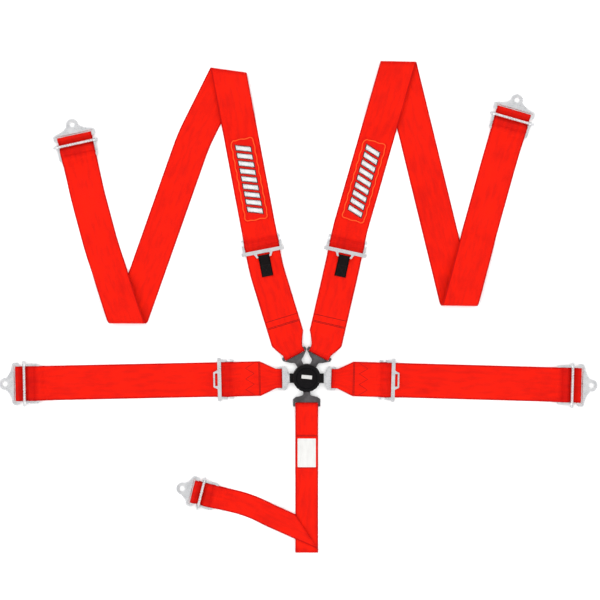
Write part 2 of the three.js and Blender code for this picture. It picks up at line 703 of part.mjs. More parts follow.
// A pull tab: folded webbing, looped round the lug's rail and lying back over the belt.
function tabGeometry() {
  const hole = Math.hypot(LUG.rail, ADJUSTER.barHeight) / 2 + RUN;
  const outer = hole + TAB.cloth;
  const rest = SECOND_LAYER + HALF_WEB + RUN - LUG_AXIS_Z;
  const shape = new THREE.Shape();
  shape.absarc(0, 0, outer, -0.5 * Math.PI, 0.55 * Math.PI);
  shape.lineTo(-14, rest + 2 * TAB.cloth);
  shape.lineTo(-TAB.length, rest + 2 * TAB.cloth);
  shape.lineTo(-TAB.length, rest);
  shape.lineTo(-8, rest);
  shape.closePath();
  shape.holes.push(circleHole(0, 0, hole));
  return slab(shape, -TAB.half, TAB.half, 3);
}

// A three-bar slide's frame: flat rails and two bars, with ears that carry the lock bar at x = 0.
function slideGeometry(web) {
  const inner = web.half + EDGE_GAP;
  const outer = inner + SLIDE.rail;
  const low = SLIDE_PLATE;
  const high = low + SLIDE.plate;
  const lockHeight = low + LOCK_BAR.radius;
  const outline = roundedRectangle(-SLIDE.rearFar, -outer, 5.5, outer, 5);
  const middleFar = -SLIDE.middle - SLIDE.middleHalf;
  const middleNear = -SLIDE.middle + SLIDE.middleHalf;
  outline.holes.push(roundedRectangle(-SLIDE.rearNear, -inner, middleFar, inner, 1));
  const ear = new THREE.Shape();
  ear.absarc(0, lockHeight, LOCK_BAR.radius + 2, -0.25 * Math.PI, 1.25 * Math.PI);
  ear.closePath();
  const ears = [slab(ear, -outer, -inner), slab(ear, inner, outer)];
  const frame = join(plate(outline, low, high), ...ears);
  const mouth = box(middleNear, -inner, 0, 20, inner, 30);
  const eye = post(LOCK_BAR.radius + RUN, -outer - 1, outer + 1, 0, 0, 16);
  return cut(frame, mouth, eye.rotateX(Math.PI / 2).translate(0, 0, lockHeight));
}

// The lock bar, a knurled rod.
function lockBarGeometry(web) {
  const half = web.half + EDGE_GAP + SLIDE.rail + LOCK_BAR.overhang;
  const rod = new THREE.CylinderGeometry(LOCK_BAR.radius, LOCK_BAR.radius, 2 * half, 16);
  return rod.translate(0, 0, SLIDE_PLATE + LOCK_BAR.radius);
}

// An anchor bracket, with its base bar along Y at x = 0 and its bolt hole in the lobe beyond.
function bracketGeometry(web) {
  const slotHalf = web.half + 3;
  const half = slotHalf + BRACKET.side;
  const { hole, lobe, slotOuter, shoulder, holeRadius } = BRACKET;
  const back = -BAR / 2;
  const shape = new THREE.Shape();
  shape.moveTo(back, -half + 4);
  shape.absarc(back + 4, -half + 4, 4, Math.PI, 1.5 * Math.PI);
  shape.lineTo(slotOuter, -half);
  shape.quadraticCurveTo(shoulder, -half, shoulder + 2, -half * 0.72);
  shape.quadraticCurveTo(hole - 10, -lobe - 6, hole - 2, -lobe);
  shape.absarc(hole, 0, lobe, -0.47 * Math.PI, 0.47 * Math.PI);
  shape.lineTo(hole - 2, lobe);
  shape.quadraticCurveTo(hole - 10, lobe + 6, shoulder + 2, half * 0.72);
  shape.quadraticCurveTo(shoulder, half, slotOuter, half);
  shape.lineTo(back + 4, half);
  shape.absarc(back + 4, half - 4, 4, 0.5 * Math.PI, Math.PI);
  shape.closePath();
  shape.holes.push(roundedRectangle(BAR / 2, -slotHalf, slotOuter, slotHalf, 1.5));
  shape.holes.push(circleHole(hole, 0, holeRadius));
  return plate(shape, -PLATE / 2, PLATE / 2);
}

// How far a bracket drops from level until its lobe's edge rests on the floor.
const BRACKET_HEIGHT = FLOOR_LAYER + BAR_LOOP;
const BRACKET_REACH = BRACKET.hole + BRACKET.lobe;
const BRACKET_DROP = Math.asin((BRACKET_HEIGHT - PLATE / 2 - RUN) / BRACKET_REACH);

// ---------------------------------------------------------------- the belts

function holder(parent, place) {
  const held = new THREE.Group();
  held.position.set(place.x, place.y, place.z ?? 0);
  held.rotation.z = place.heading ?? 0;
  parent.add(held);
  return held;
}

function buildBelt(belt) {
  const layout = unroll(PROFILES[belt.kind](belt));
  const buckleSlot = holder(group, { x: 0, y: 0, heading: radians(belt.slot) });
  const tongue = markPlace(layout, 'tongue');
  const up = new THREE.Vector3(0, 0, 1);
  const away = new THREE.Vector3(tongue.x, tongue.y, 0).applyAxisAngle(up, -tongue.heading);
  const place = { x: TONGUE.reach - away.x, y: -away.y, heading: -tongue.heading };
  const laid = holder(buckleSlot, place);
  piece(`${belt.name}_webbing`, webbingGeometry(layout, WEBBING), RED_WEBBING, laid);
  const tongueLook = belt.kind === 'lap' ? BRIGHT_STEEL : BLACK_STEEL;
  piece(`${belt.name}_tongue`, tongueGeometry(belt.web, FLARE[belt.kind]), tongueLook, buckleSlot);

  if (belt.adjusterAt) {
    const at = markPlace(layout, 'adjuster');
    const facing = belt.towardRear ? Math.PI : 0;
    const adjuster = holder(laid, { x: at.x, y: at.y, heading: at.heading + facing });
    piece(`${belt.name}_adjuster`, adjusterGeometry(belt.web), BRIGHT_STEEL, adjuster);
    if (belt.kind === 'shoulder') {
      const hinge = holder(adjuster, { x: LUG_AXIS_X, y: 0, z: LUG_AXIS_Z });
      piece(`${belt.name}_pull_tab`, tabGeometry(), BLACK_WEBBING, hinge);
    }
  }

  const slide = holder(laid, { ...markPlace(layout, 'slide'), z: 0 });
  piece(`${belt.name}_slide`, slideGeometry(belt.web), BRIGHT_STEEL, slide);
  piece(`${belt.name}_lock_bar`, lockBarGeometry(belt.web), BRIGHT_STEEL, slide);
  const bracketBar = holder(slide, { x: ANCHOR_BAR, y: 0, z: BRACKET_HEIGHT });
  const anchor = bracketGeometry(belt.web);
  const bracket = piece(`${belt.name}_bracket`, anchor, BRIGHT_STEEL, bracketBar);
  bracket.rotation.y = BRACKET_DROP;

  if (layout.marks.patch) {
    const patch = holder(laid, { ...markPlace(layout, 'patch'), z: 0 });
    const webTop = FLOOR_LAYER + HALF_WEB;
    piece(`${belt.name}_patch`, clothGeometry(PATCH, webTop + RUN), PATCH_CLOTH, patch);
  }
  if (layout.marks.label) {
    const label = holder(laid, { ...markPlace(layout, 'label'), z: 0 });
    const webTop = SECOND_LAYER + HALF_WEB;
    piece(`${belt.name}_label`, clothGeometry(LABEL, webTop + RUN), LABEL_CLOTH, label);
  }
}

// ---------------------------------------------------------------- the buckle

function turned(points, sides = 28) {
  const profile = points.map(([r, z]) => new THREE.Vector2(r, z));
  return new THREE.LatheGeometry(profile, sides).rotateX(Math.PI / 2);
}

function ring(inner, outer, z0, z1, sides = 28) {
  return turned([[inner, z0], [outer, z0], [outer, z1], [inner, z1], [inner, z0]], sides);
}

function housingGeometry() {
  const { outer, wall, ceiling, top, baseHeight } = BUCKLE;
  const low = baseHeight + RUN;
  const inner = outer - wall;
  const bore = KNOB.sleeve + RUN;
  const shell = turned([
    [inner, low], [outer, low], [outer, top - 1.5], [outer - 1.5, top], [bore, top],
    [bore, ceiling], [inner, ceiling], [inner, low],
  ]);
  const slotLow = TONGUE_HEIGHT - PLATE / 2 - 0.5;
  const slotHigh = TONGUE_HEIGHT + PLATE / 2 + 0.3;
  const width = TONGUE.shank + 0.5;
  const ports = [];
  const slots = [];
  for (const belt of BELTS) {
    const turn = radians(belt.slot);
    slots.push(box(inner - 8, -width, slotLow, 60, width, slotHigh).rotateZ(turn));
    if (belt.kind === 'lap') {
      const guide = box(outer - 2, -width - 2.2, low, outer + 8.5, width + 2.2, slotHigh + 2.6);
      ports.push(guide.rotateZ(turn));
    }
  }
  return cut(join(shell, ...ports), ...slots);
}

function knobGeometry() {
  const { radius, bottom, height, sleeve, recess, recessDepth } = KNOB;
  const top = bottom + height;
  return turned([
    [POST + RUN, CAM.top + RUN], [sleeve, CAM.top + RUN], [sleeve, bottom], [radius - 1, bottom],
    [radius, bottom + 1], [radius, top - 3.5], [radius - 1, top - 1.2], [radius - 3.2, top],
    [recess + 1.6, top], [recess, top - recessDepth], [POST + RUN, top - recessDepth],
    [POST + RUN, CAM.top + RUN],
  ], 32);
}

// The cam: a disc with five lobes that pass under the pins' heads as the knob turns.
function camGeometry() {
  const shape = new THREE.Shape();
  const step = (2 * Math.PI) / BELTS.length;
  const first = radians(BELTS[0].slot) + step / 2;
  for (let i = 0; i < BELTS.length; i += 1) {
    const middle = first + i * step;
    shape.absarc(0, 0, CAM.lobe, middle - 0.2, middle + 0.2);
    shape.absarc(0, 0, CAM.root, middle + 0.32, middle + step - 0.32);
  }
  shape.closePath();
  shape.holes.push(circleHole(0, 0, POST + RUN));
  return plate(shape, CAM.bottom, CAM.top, 2);
}

// The coil spring that turns the knob back, wound round the knob's sleeve.
function springGeometry() {
  const { turns, wire, radius, rise, facets } = SPRING;
  const low = CAM.top + 2 * RUN + wire;
  const sides = 6;
  const steps = turns * facets;
  const positions = [];
  const index = [];
  for (let i = 0; i <= steps; i += 1) {
    const along = (i / facets) * 2 * Math.PI;
    for (let k = 0; k < sides; k += 1) {
      const around = (k / sides) * 2 * Math.PI;
      const r = radius + wire * Math.cos(around);
      const z = low + (rise * i) / steps + wire * Math.sin(around);
      positions.push(r * Math.cos(along), r * Math.sin(along), z);
    }
  }
  for (let k = 1; k + 1 < sides; k += 1) index.push(0, k, k + 1);
  for (let i = 0; i < steps; i += 1) {
    for (let k = 0; k < sides; k += 1) {
      const a = sides * i + k;
      const b = sides * i + ((k + 1) % sides);
      index.push(a, a + sides, b, b, a + sides, b + sides);
    }
  }
  const last = sides * steps;
  for (let k = 1; k + 1 < sides; k += 1) index.push(last, last + k + 1, last + k);
  const geometry = new THREE.BufferGeometry();
  geometry.setAttribute('position', new THREE.Float32BufferAttribute(positions, 3));
  geometry.setIndex(index);
  return geometry;
}

function buildBuckle() {
  const { base, baseHeight, outer, wall } = BUCKLE;
  const chamfer = 0.8;
  const basePlate = turned([
    [0, 0], [base, 0], [base, baseHeight - chamfer], [base - chamfer, baseHeight], [0, baseHeight],
  ]);
  piece('buckle_base_plate', basePlate, BLACK_STEEL, group);
  piece('buckle_housing', housingGeometry(), BLACK_PLASTIC, group);
  const knobTop = KNOB.bottom + KNOB.height - KNOB.recessDepth;
  const foot = baseHeight + RUN;
  const spindle = join(post(POST, foot, knobTop - 0.4), post(POST + 3, foot, foot + 1.3));
  piece('buckle_centre_post', spindle, BLACK_STEEL, group);

  const holes = BELTS.map((belt) => {
    const turn = radians(belt.slot);
    return post(PIN.shaft + RUN, 0, 20, PIN.circle * Math.cos(turn), PIN.circle * Math.sin(turn), 16);
  });
  const guide = ring(POST + RUN, outer - wall - RUN, GUIDE.bottom, GUIDE.top);
  piece('buckle_pin_guide', cut(guide, ...holes), BRIGHT_STEEL, group);
  for (const belt of BELTS) {
    const turn = radians(belt.slot);
    const x = PIN.circle * Math.cos(turn);
    const y = PIN.circle * Math.sin(turn);
    const shaft = post(PIN.shaft, PIN.tip, PIN.headAt + 0.5, x, y, 12);
    const pin = join(shaft, post(PIN.head, PIN.headAt, PIN.headTop, x, y, 14));
    piece(`${belt.name}_latch_pin`, pin, BRIGHT_STEEL, group);
  }
  piece('buckle_cam', camGeometry(), BRIGHT_STEEL, group);
  piece('buckle_knob_spring', springGeometry(), BRIGHT_STEEL, group);
  piece('buckle_knob', knobGeometry(), BLACK_PLASTIC, group);
  const discBottom = knobTop + RUN;
  const disc = turned([
    [0, discBottom], [KNOB.recess - 0.5, discBottom], [KNOB.recess - 1, discBottom + 1],
    [0, discBottom + 1.2],
  ]);
  piece('buckle_knob_disc', disc, BLACK_PLASTIC, group);
}

buildBuckle();
BELTS.forEach(buildBelt);

export default group;
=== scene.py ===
"""The looks of a five-point racing harness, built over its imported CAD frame.

Lengths named in capitals and all profiles are in millimetres, as in the CAD model. Meshes are
made in metres, in the frame's own axes: +X along the lap belts, +Y up the shoulder belts, +Z up.
"""

import json
import math
import random

import bmesh
import bpy
import numpy as np
from mathutils import Matrix, Vector


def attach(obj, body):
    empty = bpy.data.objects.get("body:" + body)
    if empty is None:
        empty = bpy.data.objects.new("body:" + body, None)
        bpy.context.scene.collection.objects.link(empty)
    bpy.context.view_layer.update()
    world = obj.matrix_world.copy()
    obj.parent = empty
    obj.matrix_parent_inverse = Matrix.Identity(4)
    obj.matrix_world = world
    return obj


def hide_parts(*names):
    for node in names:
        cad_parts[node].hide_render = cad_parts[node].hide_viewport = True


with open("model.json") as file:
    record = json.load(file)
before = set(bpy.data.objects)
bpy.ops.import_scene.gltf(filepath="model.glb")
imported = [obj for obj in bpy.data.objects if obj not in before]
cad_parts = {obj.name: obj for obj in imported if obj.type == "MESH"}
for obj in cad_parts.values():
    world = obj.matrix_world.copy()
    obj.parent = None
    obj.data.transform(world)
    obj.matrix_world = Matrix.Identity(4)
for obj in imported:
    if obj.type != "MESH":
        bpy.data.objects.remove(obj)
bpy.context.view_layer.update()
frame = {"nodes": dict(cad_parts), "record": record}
MM = 0.001
rng = random.Random(7)

# ---------------------------------------------------------------- sizes shared with the CAD model

RUN = 0.3
WEBBING = 2.0
HALF_WEB = WEBBING / 2
LAYER = WEBBING + RUN
FLOOR_LAYER = HALF_WEB
SECOND_LAYER = FLOOR_LAYER + LAYER

SHOULDER = {"half": 38.0, "tongue_half": 24.0, "gather": 38.0}
LAP = {"half": 38.0, "tongue_half": 21.0, "gather": 44.0}
CROTCH = {"half": 25.0, "tongue_half": 25.0, "gather": 40.0}
EDGE_GAP = 0.8

PLATE = 3.0
BAR = 6.0
BAR_LOOP = math.hypot(BAR, PLATE) / 2 + RUN + HALF_WEB
TONGUE_HEIGHT = 6.5
REACH = 60.0
TIP = 13.0
TIP_HALF = 5.8
SHANK_FROM = 21.0
SHANK = 7.6
TONGUE_RAIL = 4.2
PIN_CIRCLE = 20.0
PIN_HOLE = 3.4
FLARE = {
    "shoulder": {"start": 37.0, "knee": 44.0, "knee_half": 14.5, "full": 56.0},
    "lap": {"start": 39.0, "knee": 43.0, "knee_half": 21.0, "full": 46.0},
    "crotch": {"start": 36.0, "knee": 42.0, "knee_half": 24.0, "full": 47.0},
}
POST = 4.0
CAM_TOP = 12.6
KNOB = {"radius": 30.0, "bottom": 19.3, "height": 9.0, "sleeve": 7.0, "recess": 22.5, "depth": 1.4}
INLAY = {"half_length": 11.5, "half_width": 4.0, "corner": 1.4, "rise": 3.0, "turn": -5.0}

ADJUSTER_BAR = 4.0
ADJUSTER_MIDDLE = 17.0
MIDDLE_HALF = 2.1
MIDDLE_HEIGHT = 2.5
UNDER_BAR = 0.5
BAR_HEIGHT = 2.8
BAR_BOTTOM = SECOND_LAYER + HALF_WEB + UNDER_BAR
REAR_NEAR = 26.5
REAR_FAR = 32.0
REAR_BOTTOM = 0.3
REAR_HEIGHT = 2.5
SEWN_STUB = 2.2
SEWN_SLACK = 0.15
SEWN_LOOP = math.hypot(MIDDLE_HALF, MIDDLE_HEIGHT / 2) + RUN + HALF_WEB + SEWN_SLACK
OVER_REAR = REAR_BOTTOM + REAR_HEIGHT + 2 * RUN + HALF_WEB
LUG_END = 13.6
LUG_RAIL = 3.6
LUG_RISE = 2.4
LUG_AXIS = 11.5
LUG_X = -LUG_END + LUG_RAIL / 2
LUG_Z = BAR_BOTTOM + BAR_HEIGHT / 2 - LUG_X * LUG_RISE / LUG_AXIS

SLIDE_MIDDLE = 16.0
SLIDE_REAR = 33.0
SLIDE_PLATE = SECOND_LAYER + HALF_WEB + 0.4
SLIDE_THICKNESS = 2.5
SLIDE_RAIL = 4.7
LOCK_RADIUS = 3.5
LOCK_OVERHANG = 6.5
ANCHOR_BAR = 14.5
BRACKET = {"hole": 29.0, "hole_radius": 5.7, "lobe": 13.5, "slot": 8.6, "side": 6.0, "shoulder": 13.0}
BRACKET_HEIGHT = FLOOR_LAYER + BAR_LOOP
BRACKET_REACH = BRACKET["hole"] + BRACKET["lobe"]
BRACKET_DROP = math.asin((BRACKET_HEIGHT - PLATE / 2 - RUN) / BRACKET_REACH)

SOFT_FOLD = 3.2
LOOSE_FOLD = 9.0
TIGHT_FOLD = 1.6
RAMP = 24.0
CURVE = 60.0
TAIL = 50.0
TAB = {"half": 12.5, "cloth": 1.2, "length": 44.0}
PATCH = {"length": 185.0, "width": 55.0, "thickness": 0.8, "from_bar": 161.0}
PATCH_END = PATCH["from_bar"] + PATCH["length"] / 2
LABEL = {"length": 63.0, "width": 40.0, "thickness": 0.3, "from_tongue": 105.0}

# The embroidery on a patch: its wavy border, and its row of slanted bars with their dark outlines.
PATCH_CORNER = 3.0
BORDER = {"inset": 2.8, "corner": 7.0, "width": 2.2, "height": 0.6, "sway": 0.8, "wave": 23.0}
BORDER_STEP = 1.5
BARS = {"count": 9, "pitch": 17.2, "length": 11.4, "half": 15.5, "slant": 0.3, "thread": 0.75}
BAR_OUTLINE = 2.0
BAR_OUTLINE_ENDS = 2.2
BAR_STEP = 0.6

# The seams of a belt: how far from the tongue's bar each line is, and the size of a stitch.
SEAM_LINES = {"shoulder": (67.5, 70.0, 84.0), "lap": (42.8, 45.4), "crotch": (67.0, 69.2, 139.0)}
SEAM_INSET = 3.0
ZIGZAG = {"from_tongue": 56.0, "depth": 19.0, "legs": 6}
SEAM = {"pitch": 3.2, "width": 1.6, "height": 0.45, "filled": 0.98, "proud": 0.05}

BELTS = [
    dict(
        name="shoulder_left", kind="shoulder", body="shoulder_left_belt", slot=117.6, web=SHOULDER,
        adjuster=235.0, toward_rear=False, tongue_turn=-10.6, adjuster_turn=-6.0, patch_turn=-0.3,
        fold_gap=22.6, fold_skew=-18.6, second_run=584.0, run_turn=-7.1, second_skew=-19.2,
        third_run=400.0, third_turn=-4.0, end_turn=-2.6,
    ),
    dict(
        name="shoulder_right", kind="shoulder", body="shoulder_right_belt", slot=62.0, web=SHOULDER,
        adjuster=231.0, toward_rear=False, tongue_turn=15.0, adjuster_turn=0.8, patch_turn=-3.9,
        fold_gap=21.7, fold_skew=14.9, second_run=538.0, run_turn=0.0, second_skew=14.6,
        third_run=416.0, third_turn=0.0, end_turn=-0.6,
    ),
    dict(
        name="lap_left", kind="lap", body="lap_left_belt", slot=181.2, web=LAP,
        adjuster=131.6, toward_rear=True, slide=559.5,
    ),
    dict(
        name="lap_right", kind="lap", body="base", slot=-1.6, web=LAP,
        adjuster=130.0, toward_rear=True, slide=523.0,
    ),
    dict(
        name="crotch", kind="crotch", body="crotch_belt", slot=270.0, web=CROTCH, hem=145.0,
        first_fold=322.0, second_fold=40.0, fold_skew=57.0, slide=242.0, end_turn=10.0,
    ),
]

# ---------------------------------------------------------------- how webbing lies

ROW_STEP = 5.0
BEND_STEP = math.radians(9)


def corner(q, z, half, r=0.0, skew=0.0, turn=0.0, mark=None):
    """A corner of a belt's side view: its place along and up, half the webbing's width there, the
    radius and skew of its bend, the turn in plan of the stretch after it, and its name if any."""
    return {"q": q, "z": z, "half": half, "r": r, "skew": skew, "turn": turn, "mark": mark}


def heading(a, b):
    return math.atan2(b["z"] - a["z"], b["q"] - a["q"])


def mix(a, b, t):
    return a + (b - a) * t


def centre_of(stretches, s):
    """The centre line's place and heading in the flat layout, at a length along it."""
    here = stretches[0]
    for one in stretches:
        if one["s"] <= s + 1e-9:
            here = one
    run = s - here["s"]
    beta = here["beta"] + here["curve"] * run
    if here["curve"] == 0:
        x = here["x"] + run * math.cos(beta)
        y = here["y"] + run * math.sin(beta)
    else:
        x = here["x"] + (math.sin(beta) - math.sin(here["beta"])) / here["curve"]
        y = here["y"] - (math.cos(beta) - math.cos(here["beta"])) / here["curve"]
    return {"s": s, "x": x, "y": y, "beta": beta}


def bend_points(points, bend, wholly_past):
    """Bends layout points round one band, as the CAD model does."""
    across = bend["beta"] + bend["skew"]
    f = np.array([math.cos(across), math.sin(across)])
    e = np.array([-math.sin(across), math.cos(across)])
    offset = points[:, :2] - np.array([bend["x"], bend["y"]])
    distance = offset @ f
    side = math.copysign(1.0, bend["angle"])
    full = abs(bend["angle"])
    if wholly_past:
        angle = np.full(len(points), full)
    else:
        angle = np.clip(distance / bend["radius"], 0.0, full)
    rest = distance - angle * bend["radius"]
    z = points[:, 2]
    sine = np.sin(angle)
    cosine = np.cos(angle)
    forward = bend["radius"] * sine + rest * cosine - side * z * sine
    up = side * (bend["radius"] * (1 - cosine) + rest * sine) + z * cosine
    plan = np.array([bend["x"], bend["y"]]) + np.outer(forward, f) + np.outer(offset @ e, e)
    return np.column_stack([plan, up])


def rigid_map(bend):
    """The 4x4 matrix of everything that lies wholly past a bend."""
    probes = np.array([[0.0, 0, 0], [1, 0, 0], [0, 1, 0], [0, 0, 1]])
    moved = bend_points(probes, bend, True)
    matrix = np.identity(4)
    matrix[:3, 3] = moved[0]
    for axis in range(3):
        matrix[:3, axis] = moved[axis + 1] - moved[0]
    return matrix


class Layout:
    """A belt unrolled into a flat strip, which knows how to fold its points back into place."""

    def __init__(self, corners):
        self.stretches = []
        self.bends = []
        self.rows = []
        self.marks = {}
        self.at = {"s": 0.0, "x": 0.0, "y": 0.0, "beta": 0.0}
        for i, here in enumerate(corners):
            before = corners[i - 1] if i else None
            after = corners[i + 1] if i + 1 < len(corners) else None
            self.add_corner(before, here, after)
        first = heading(corners[0], corners[1])
        start = np.identity(4)
        start[:3, 0] = [math.cos(first), 0, math.sin(first)]
        start[:3, 2] = [-math.sin(first), 0, math.cos(first)]
        start[:3, 3] = [corners[0]["q"], 0, corners[0]["z"]]
        self.maps = [start]
        for bend in self.bends:
            self.maps.append(self.maps[-1] @ rigid_map(bend))
        self.length = self.at["s"]

    def advance(self, length, turn):
        curve = turn / length if length > 0 else 0.0
        self.stretches.append({**self.at, "curve": curve})
        self.at = centre_of(self.stretches, self.at["s"] + length)

    def add_corner(self, before, here, after):
        angle = 0.0
        if before and after:
            raw = heading(here, after) - heading(before, here)
            angle = math.atan2(math.sin(raw), math.cos(raw))
        if abs(angle) < 1e-6:
            angle = 0.0
        here["tangent"] = here["r"] * math.tan(abs(angle) / 2)
        if before:
            span = math.hypot(here["q"] - before["q"], here["z"] - before["z"])
            length = span - before["tangent"] - here["tangent"]
            steps = max(1, math.ceil(length / ROW_STEP))
            for k in range(1, steps):
                t = k / steps
                skew = math.radians(mix(before["skew"], here["skew"], t))
                half = mix(before["half"], here["half"], t)
                self.rows.append((self.at["s"] + length * t, skew, half))
            self.advance(length, math.radians(before["turn"]))
        skew = math.radians(here["skew"])
        start = self.at["s"]
        steps = 0
        if angle:
            arc = here["r"] * abs(angle)
            bend = {**self.at, "angle": angle, "radius": here["r"], "skew": skew}
            self.bends.append(bend)
            self.advance(arc / math.cos(skew), 0.0)
            steps = max(1, math.ceil(abs(angle) / BEND_STEP))
        for k in range(steps + 1):
            s = mix(start, self.at["s"], k / steps) if steps else start
            self.rows.append((s, skew, here["half"]))
        if here["mark"]:
            self.marks[here["mark"]] = (start + self.at["s"]) / 2

    def fold(self, s, points):
        """Folds flat points that belong to the row at s into place, in the belt's own frame."""
        last = -1
        for i, bend in enumerate(self.bends):
            if bend["s"] <= s + 1e-6:
                last = i
        placed = np.asarray(points, dtype=float)
        if last >= 0:
            placed = bend_points(placed, self.bends[last], False)
        matrix = self.maps[max(last, 0)]
        return placed @ matrix[:3, :3].T + matrix[:3, 3]

    def spot(self, s, across=0.0, height=0.0):
        """A point on the webbing, given along, across and above its middle surface."""
        c = centre_of(self.stretches, s)
        x = c["x"] - across * math.sin(c["beta"])
        y = c["y"] + across * math.cos(c["beta"])
        return Vector(self.fold(s, [[x, y, height]])[0])

    def mark_matrix(self, name):
        """The frame of a mark, in the belt's own frame: X along the belt, Z up."""
        s = self.marks[name]
        c = centre_of(self.stretches, s)
        ahead = [c["x"] + math.cos(c["beta"]), c["y"] + math.sin(c["beta"]), 0.0]
        here, there = self.fold(s, [[c["x"], c["y"], 0.0], ahead])
        turn = math.atan2(there[1] - here[1], there[0] - here[0])
        return turned_frame(here[0], here[1], 0.0, turn)


def turned_frame(x, y, z, turn):
    return Matrix.Translation((x, y, z)) @ Matrix.Rotation(turn, 4, "Z")


def half_turn(q, from_z, to_z, way, half, skew=0.0):
    r = abs(to_z - from_z) / 2
    return [
        corner(q + way * r, from_z, half, r, skew),
        corner(q + way * r, to_z, half, r, skew),
    ]


def sewn_end(q, half):
    turn = SEWN_LOOP * math.tan(math.pi / 8)
    top = FLOOR_LAYER + 2 * SEWN_LOOP
    diagonal = (turn + SEWN_STUB) * math.sqrt(0.5)
    stub = corner(q - turn - diagonal, top - diagonal, half)
    return [stub, corner(q - turn, top, half, SEWN_LOOP)] + half_turn(q, top, FLOOR_LAYER, 1, half)


def tongue_loop(web, turn):
    low = TONGUE_HEIGHT - BAR_LOOP
    high = TONGUE_HEIGHT + BAR_LOOP
    full = web["half"]
    narrow = web["tongue_half"]
    return [
        corner(web["gather"], FLOOR_LAYER, full, 30, turn, turn),
        corner(BAR + 2, low, narrow, 30),
        *half_turn(0, low, high, -1, narrow),
        corner(0, high, narrow, mark="tongue"),
        corner(BAR, high, narrow, 10, turn=turn),
        corner(web["gather"], SECOND_LAYER, full, 20, -turn),
    ]


def through_adjuster(at, toward_rear, half):
    crest = FLOOR_LAYER + 2 * SEWN_LOOP + LAYER
    rear = OVER_REAR + LAYER if toward_rear else OVER_REAR
    way = -1 if toward_rear else 1
    path = [
        (1.6 + ADJUSTER_BAR, SECOND_LAYER, 3),
        (ADJUSTER_MIDDLE - 2.8, crest, 4),
        (ADJUSTER_MIDDLE + 3.3, crest, 4),
        (REAR_NEAR + 1.2, rear, 4),
        (REAR_FAR + 1.5, rear, 10),
    ]
    placed = [corner(at + way * a, z, half, r) for a, z, r in path]
    return placed[::-1] if toward_rear else placed


def anchor_end(at, half):
    over_bar = SLIDE_PLATE + SLIDE_THICKNESS + RUN + HALF_WEB
    top = FLOOR_LAYER + 2 * BAR_LOOP
    before = [
        (-TAIL - 18, FLOOR_LAYER, 30),
        (-TAIL - 3, SECOND_LAYER, 20),
        (-SLIDE_REAR - 12, SECOND_LAYER, 10),
        (-SLIDE_REAR - 1, over_bar, 6),
        (-SLIDE_MIDDLE - 7, over_bar, 3),
        (-SLIDE_MIDDLE - 4.2, over_bar + LAYER, 3),
        (-SLIDE_MIDDLE + 4.27, over_bar + LAYER, 3.5),
        (-5, SECOND_LAYER, 3),
    ]
    after = [
        (-6, FLOOR_LAYER, 2.3),
        (-SLIDE_MIDDLE + 3.25, over_bar, 2.3),
        (-SLIDE_MIDDLE - 3.3, over_bar, 2.3),
        (-SLIDE_MIDDLE - 9.5, SECOND_LAYER - 0.7, 2.3),
        (-SLIDE_REAR - 3, FLOOR_LAYER, 10),
        (-TAIL, FLOOR_LAYER, 0),
    ]
    return [
        *[corner(at + a, z, half, r) for a, z, r in before],
        corner(at, SECOND_LAYER, half, mark="slide"),
        corner(at + 5.5, SECOND_LAYER, half, 2.5),
        corner(at + ANCHOR_BAR - 1.8, top, half, 4),
        *half_turn(at + ANCHOR_BAR, top, FLOOR_LAYER, 1, half),
        *[corner(at + a, z, half, r) for a, z, r in after],
    ]


def sewn_layer(belt):
    half = belt["web"]["half"]
    at = belt["adjuster"]
    if not belt["toward_rear"]:
        return sewn_end(at + ADJUSTER_MIDDLE, half)
    loop = at - ADJUSTER_MIDDLE
    return [
        *sewn_end(loop, half),
        corner(loop - 3, FLOOR_LAYER, half, 3),
        corner(at - REAR_NEAR + 0.8, OVER_REAR, half, 4),
        corner(at - REAR_FAR - 1.5, OVER_REAR, half, 10),
        corner(at - REAR_FAR - 14, FLOOR_LAYER, half, 20),
    ]


def crossing(half, skew):
    return half / math.tan(math.radians(abs(skew)))


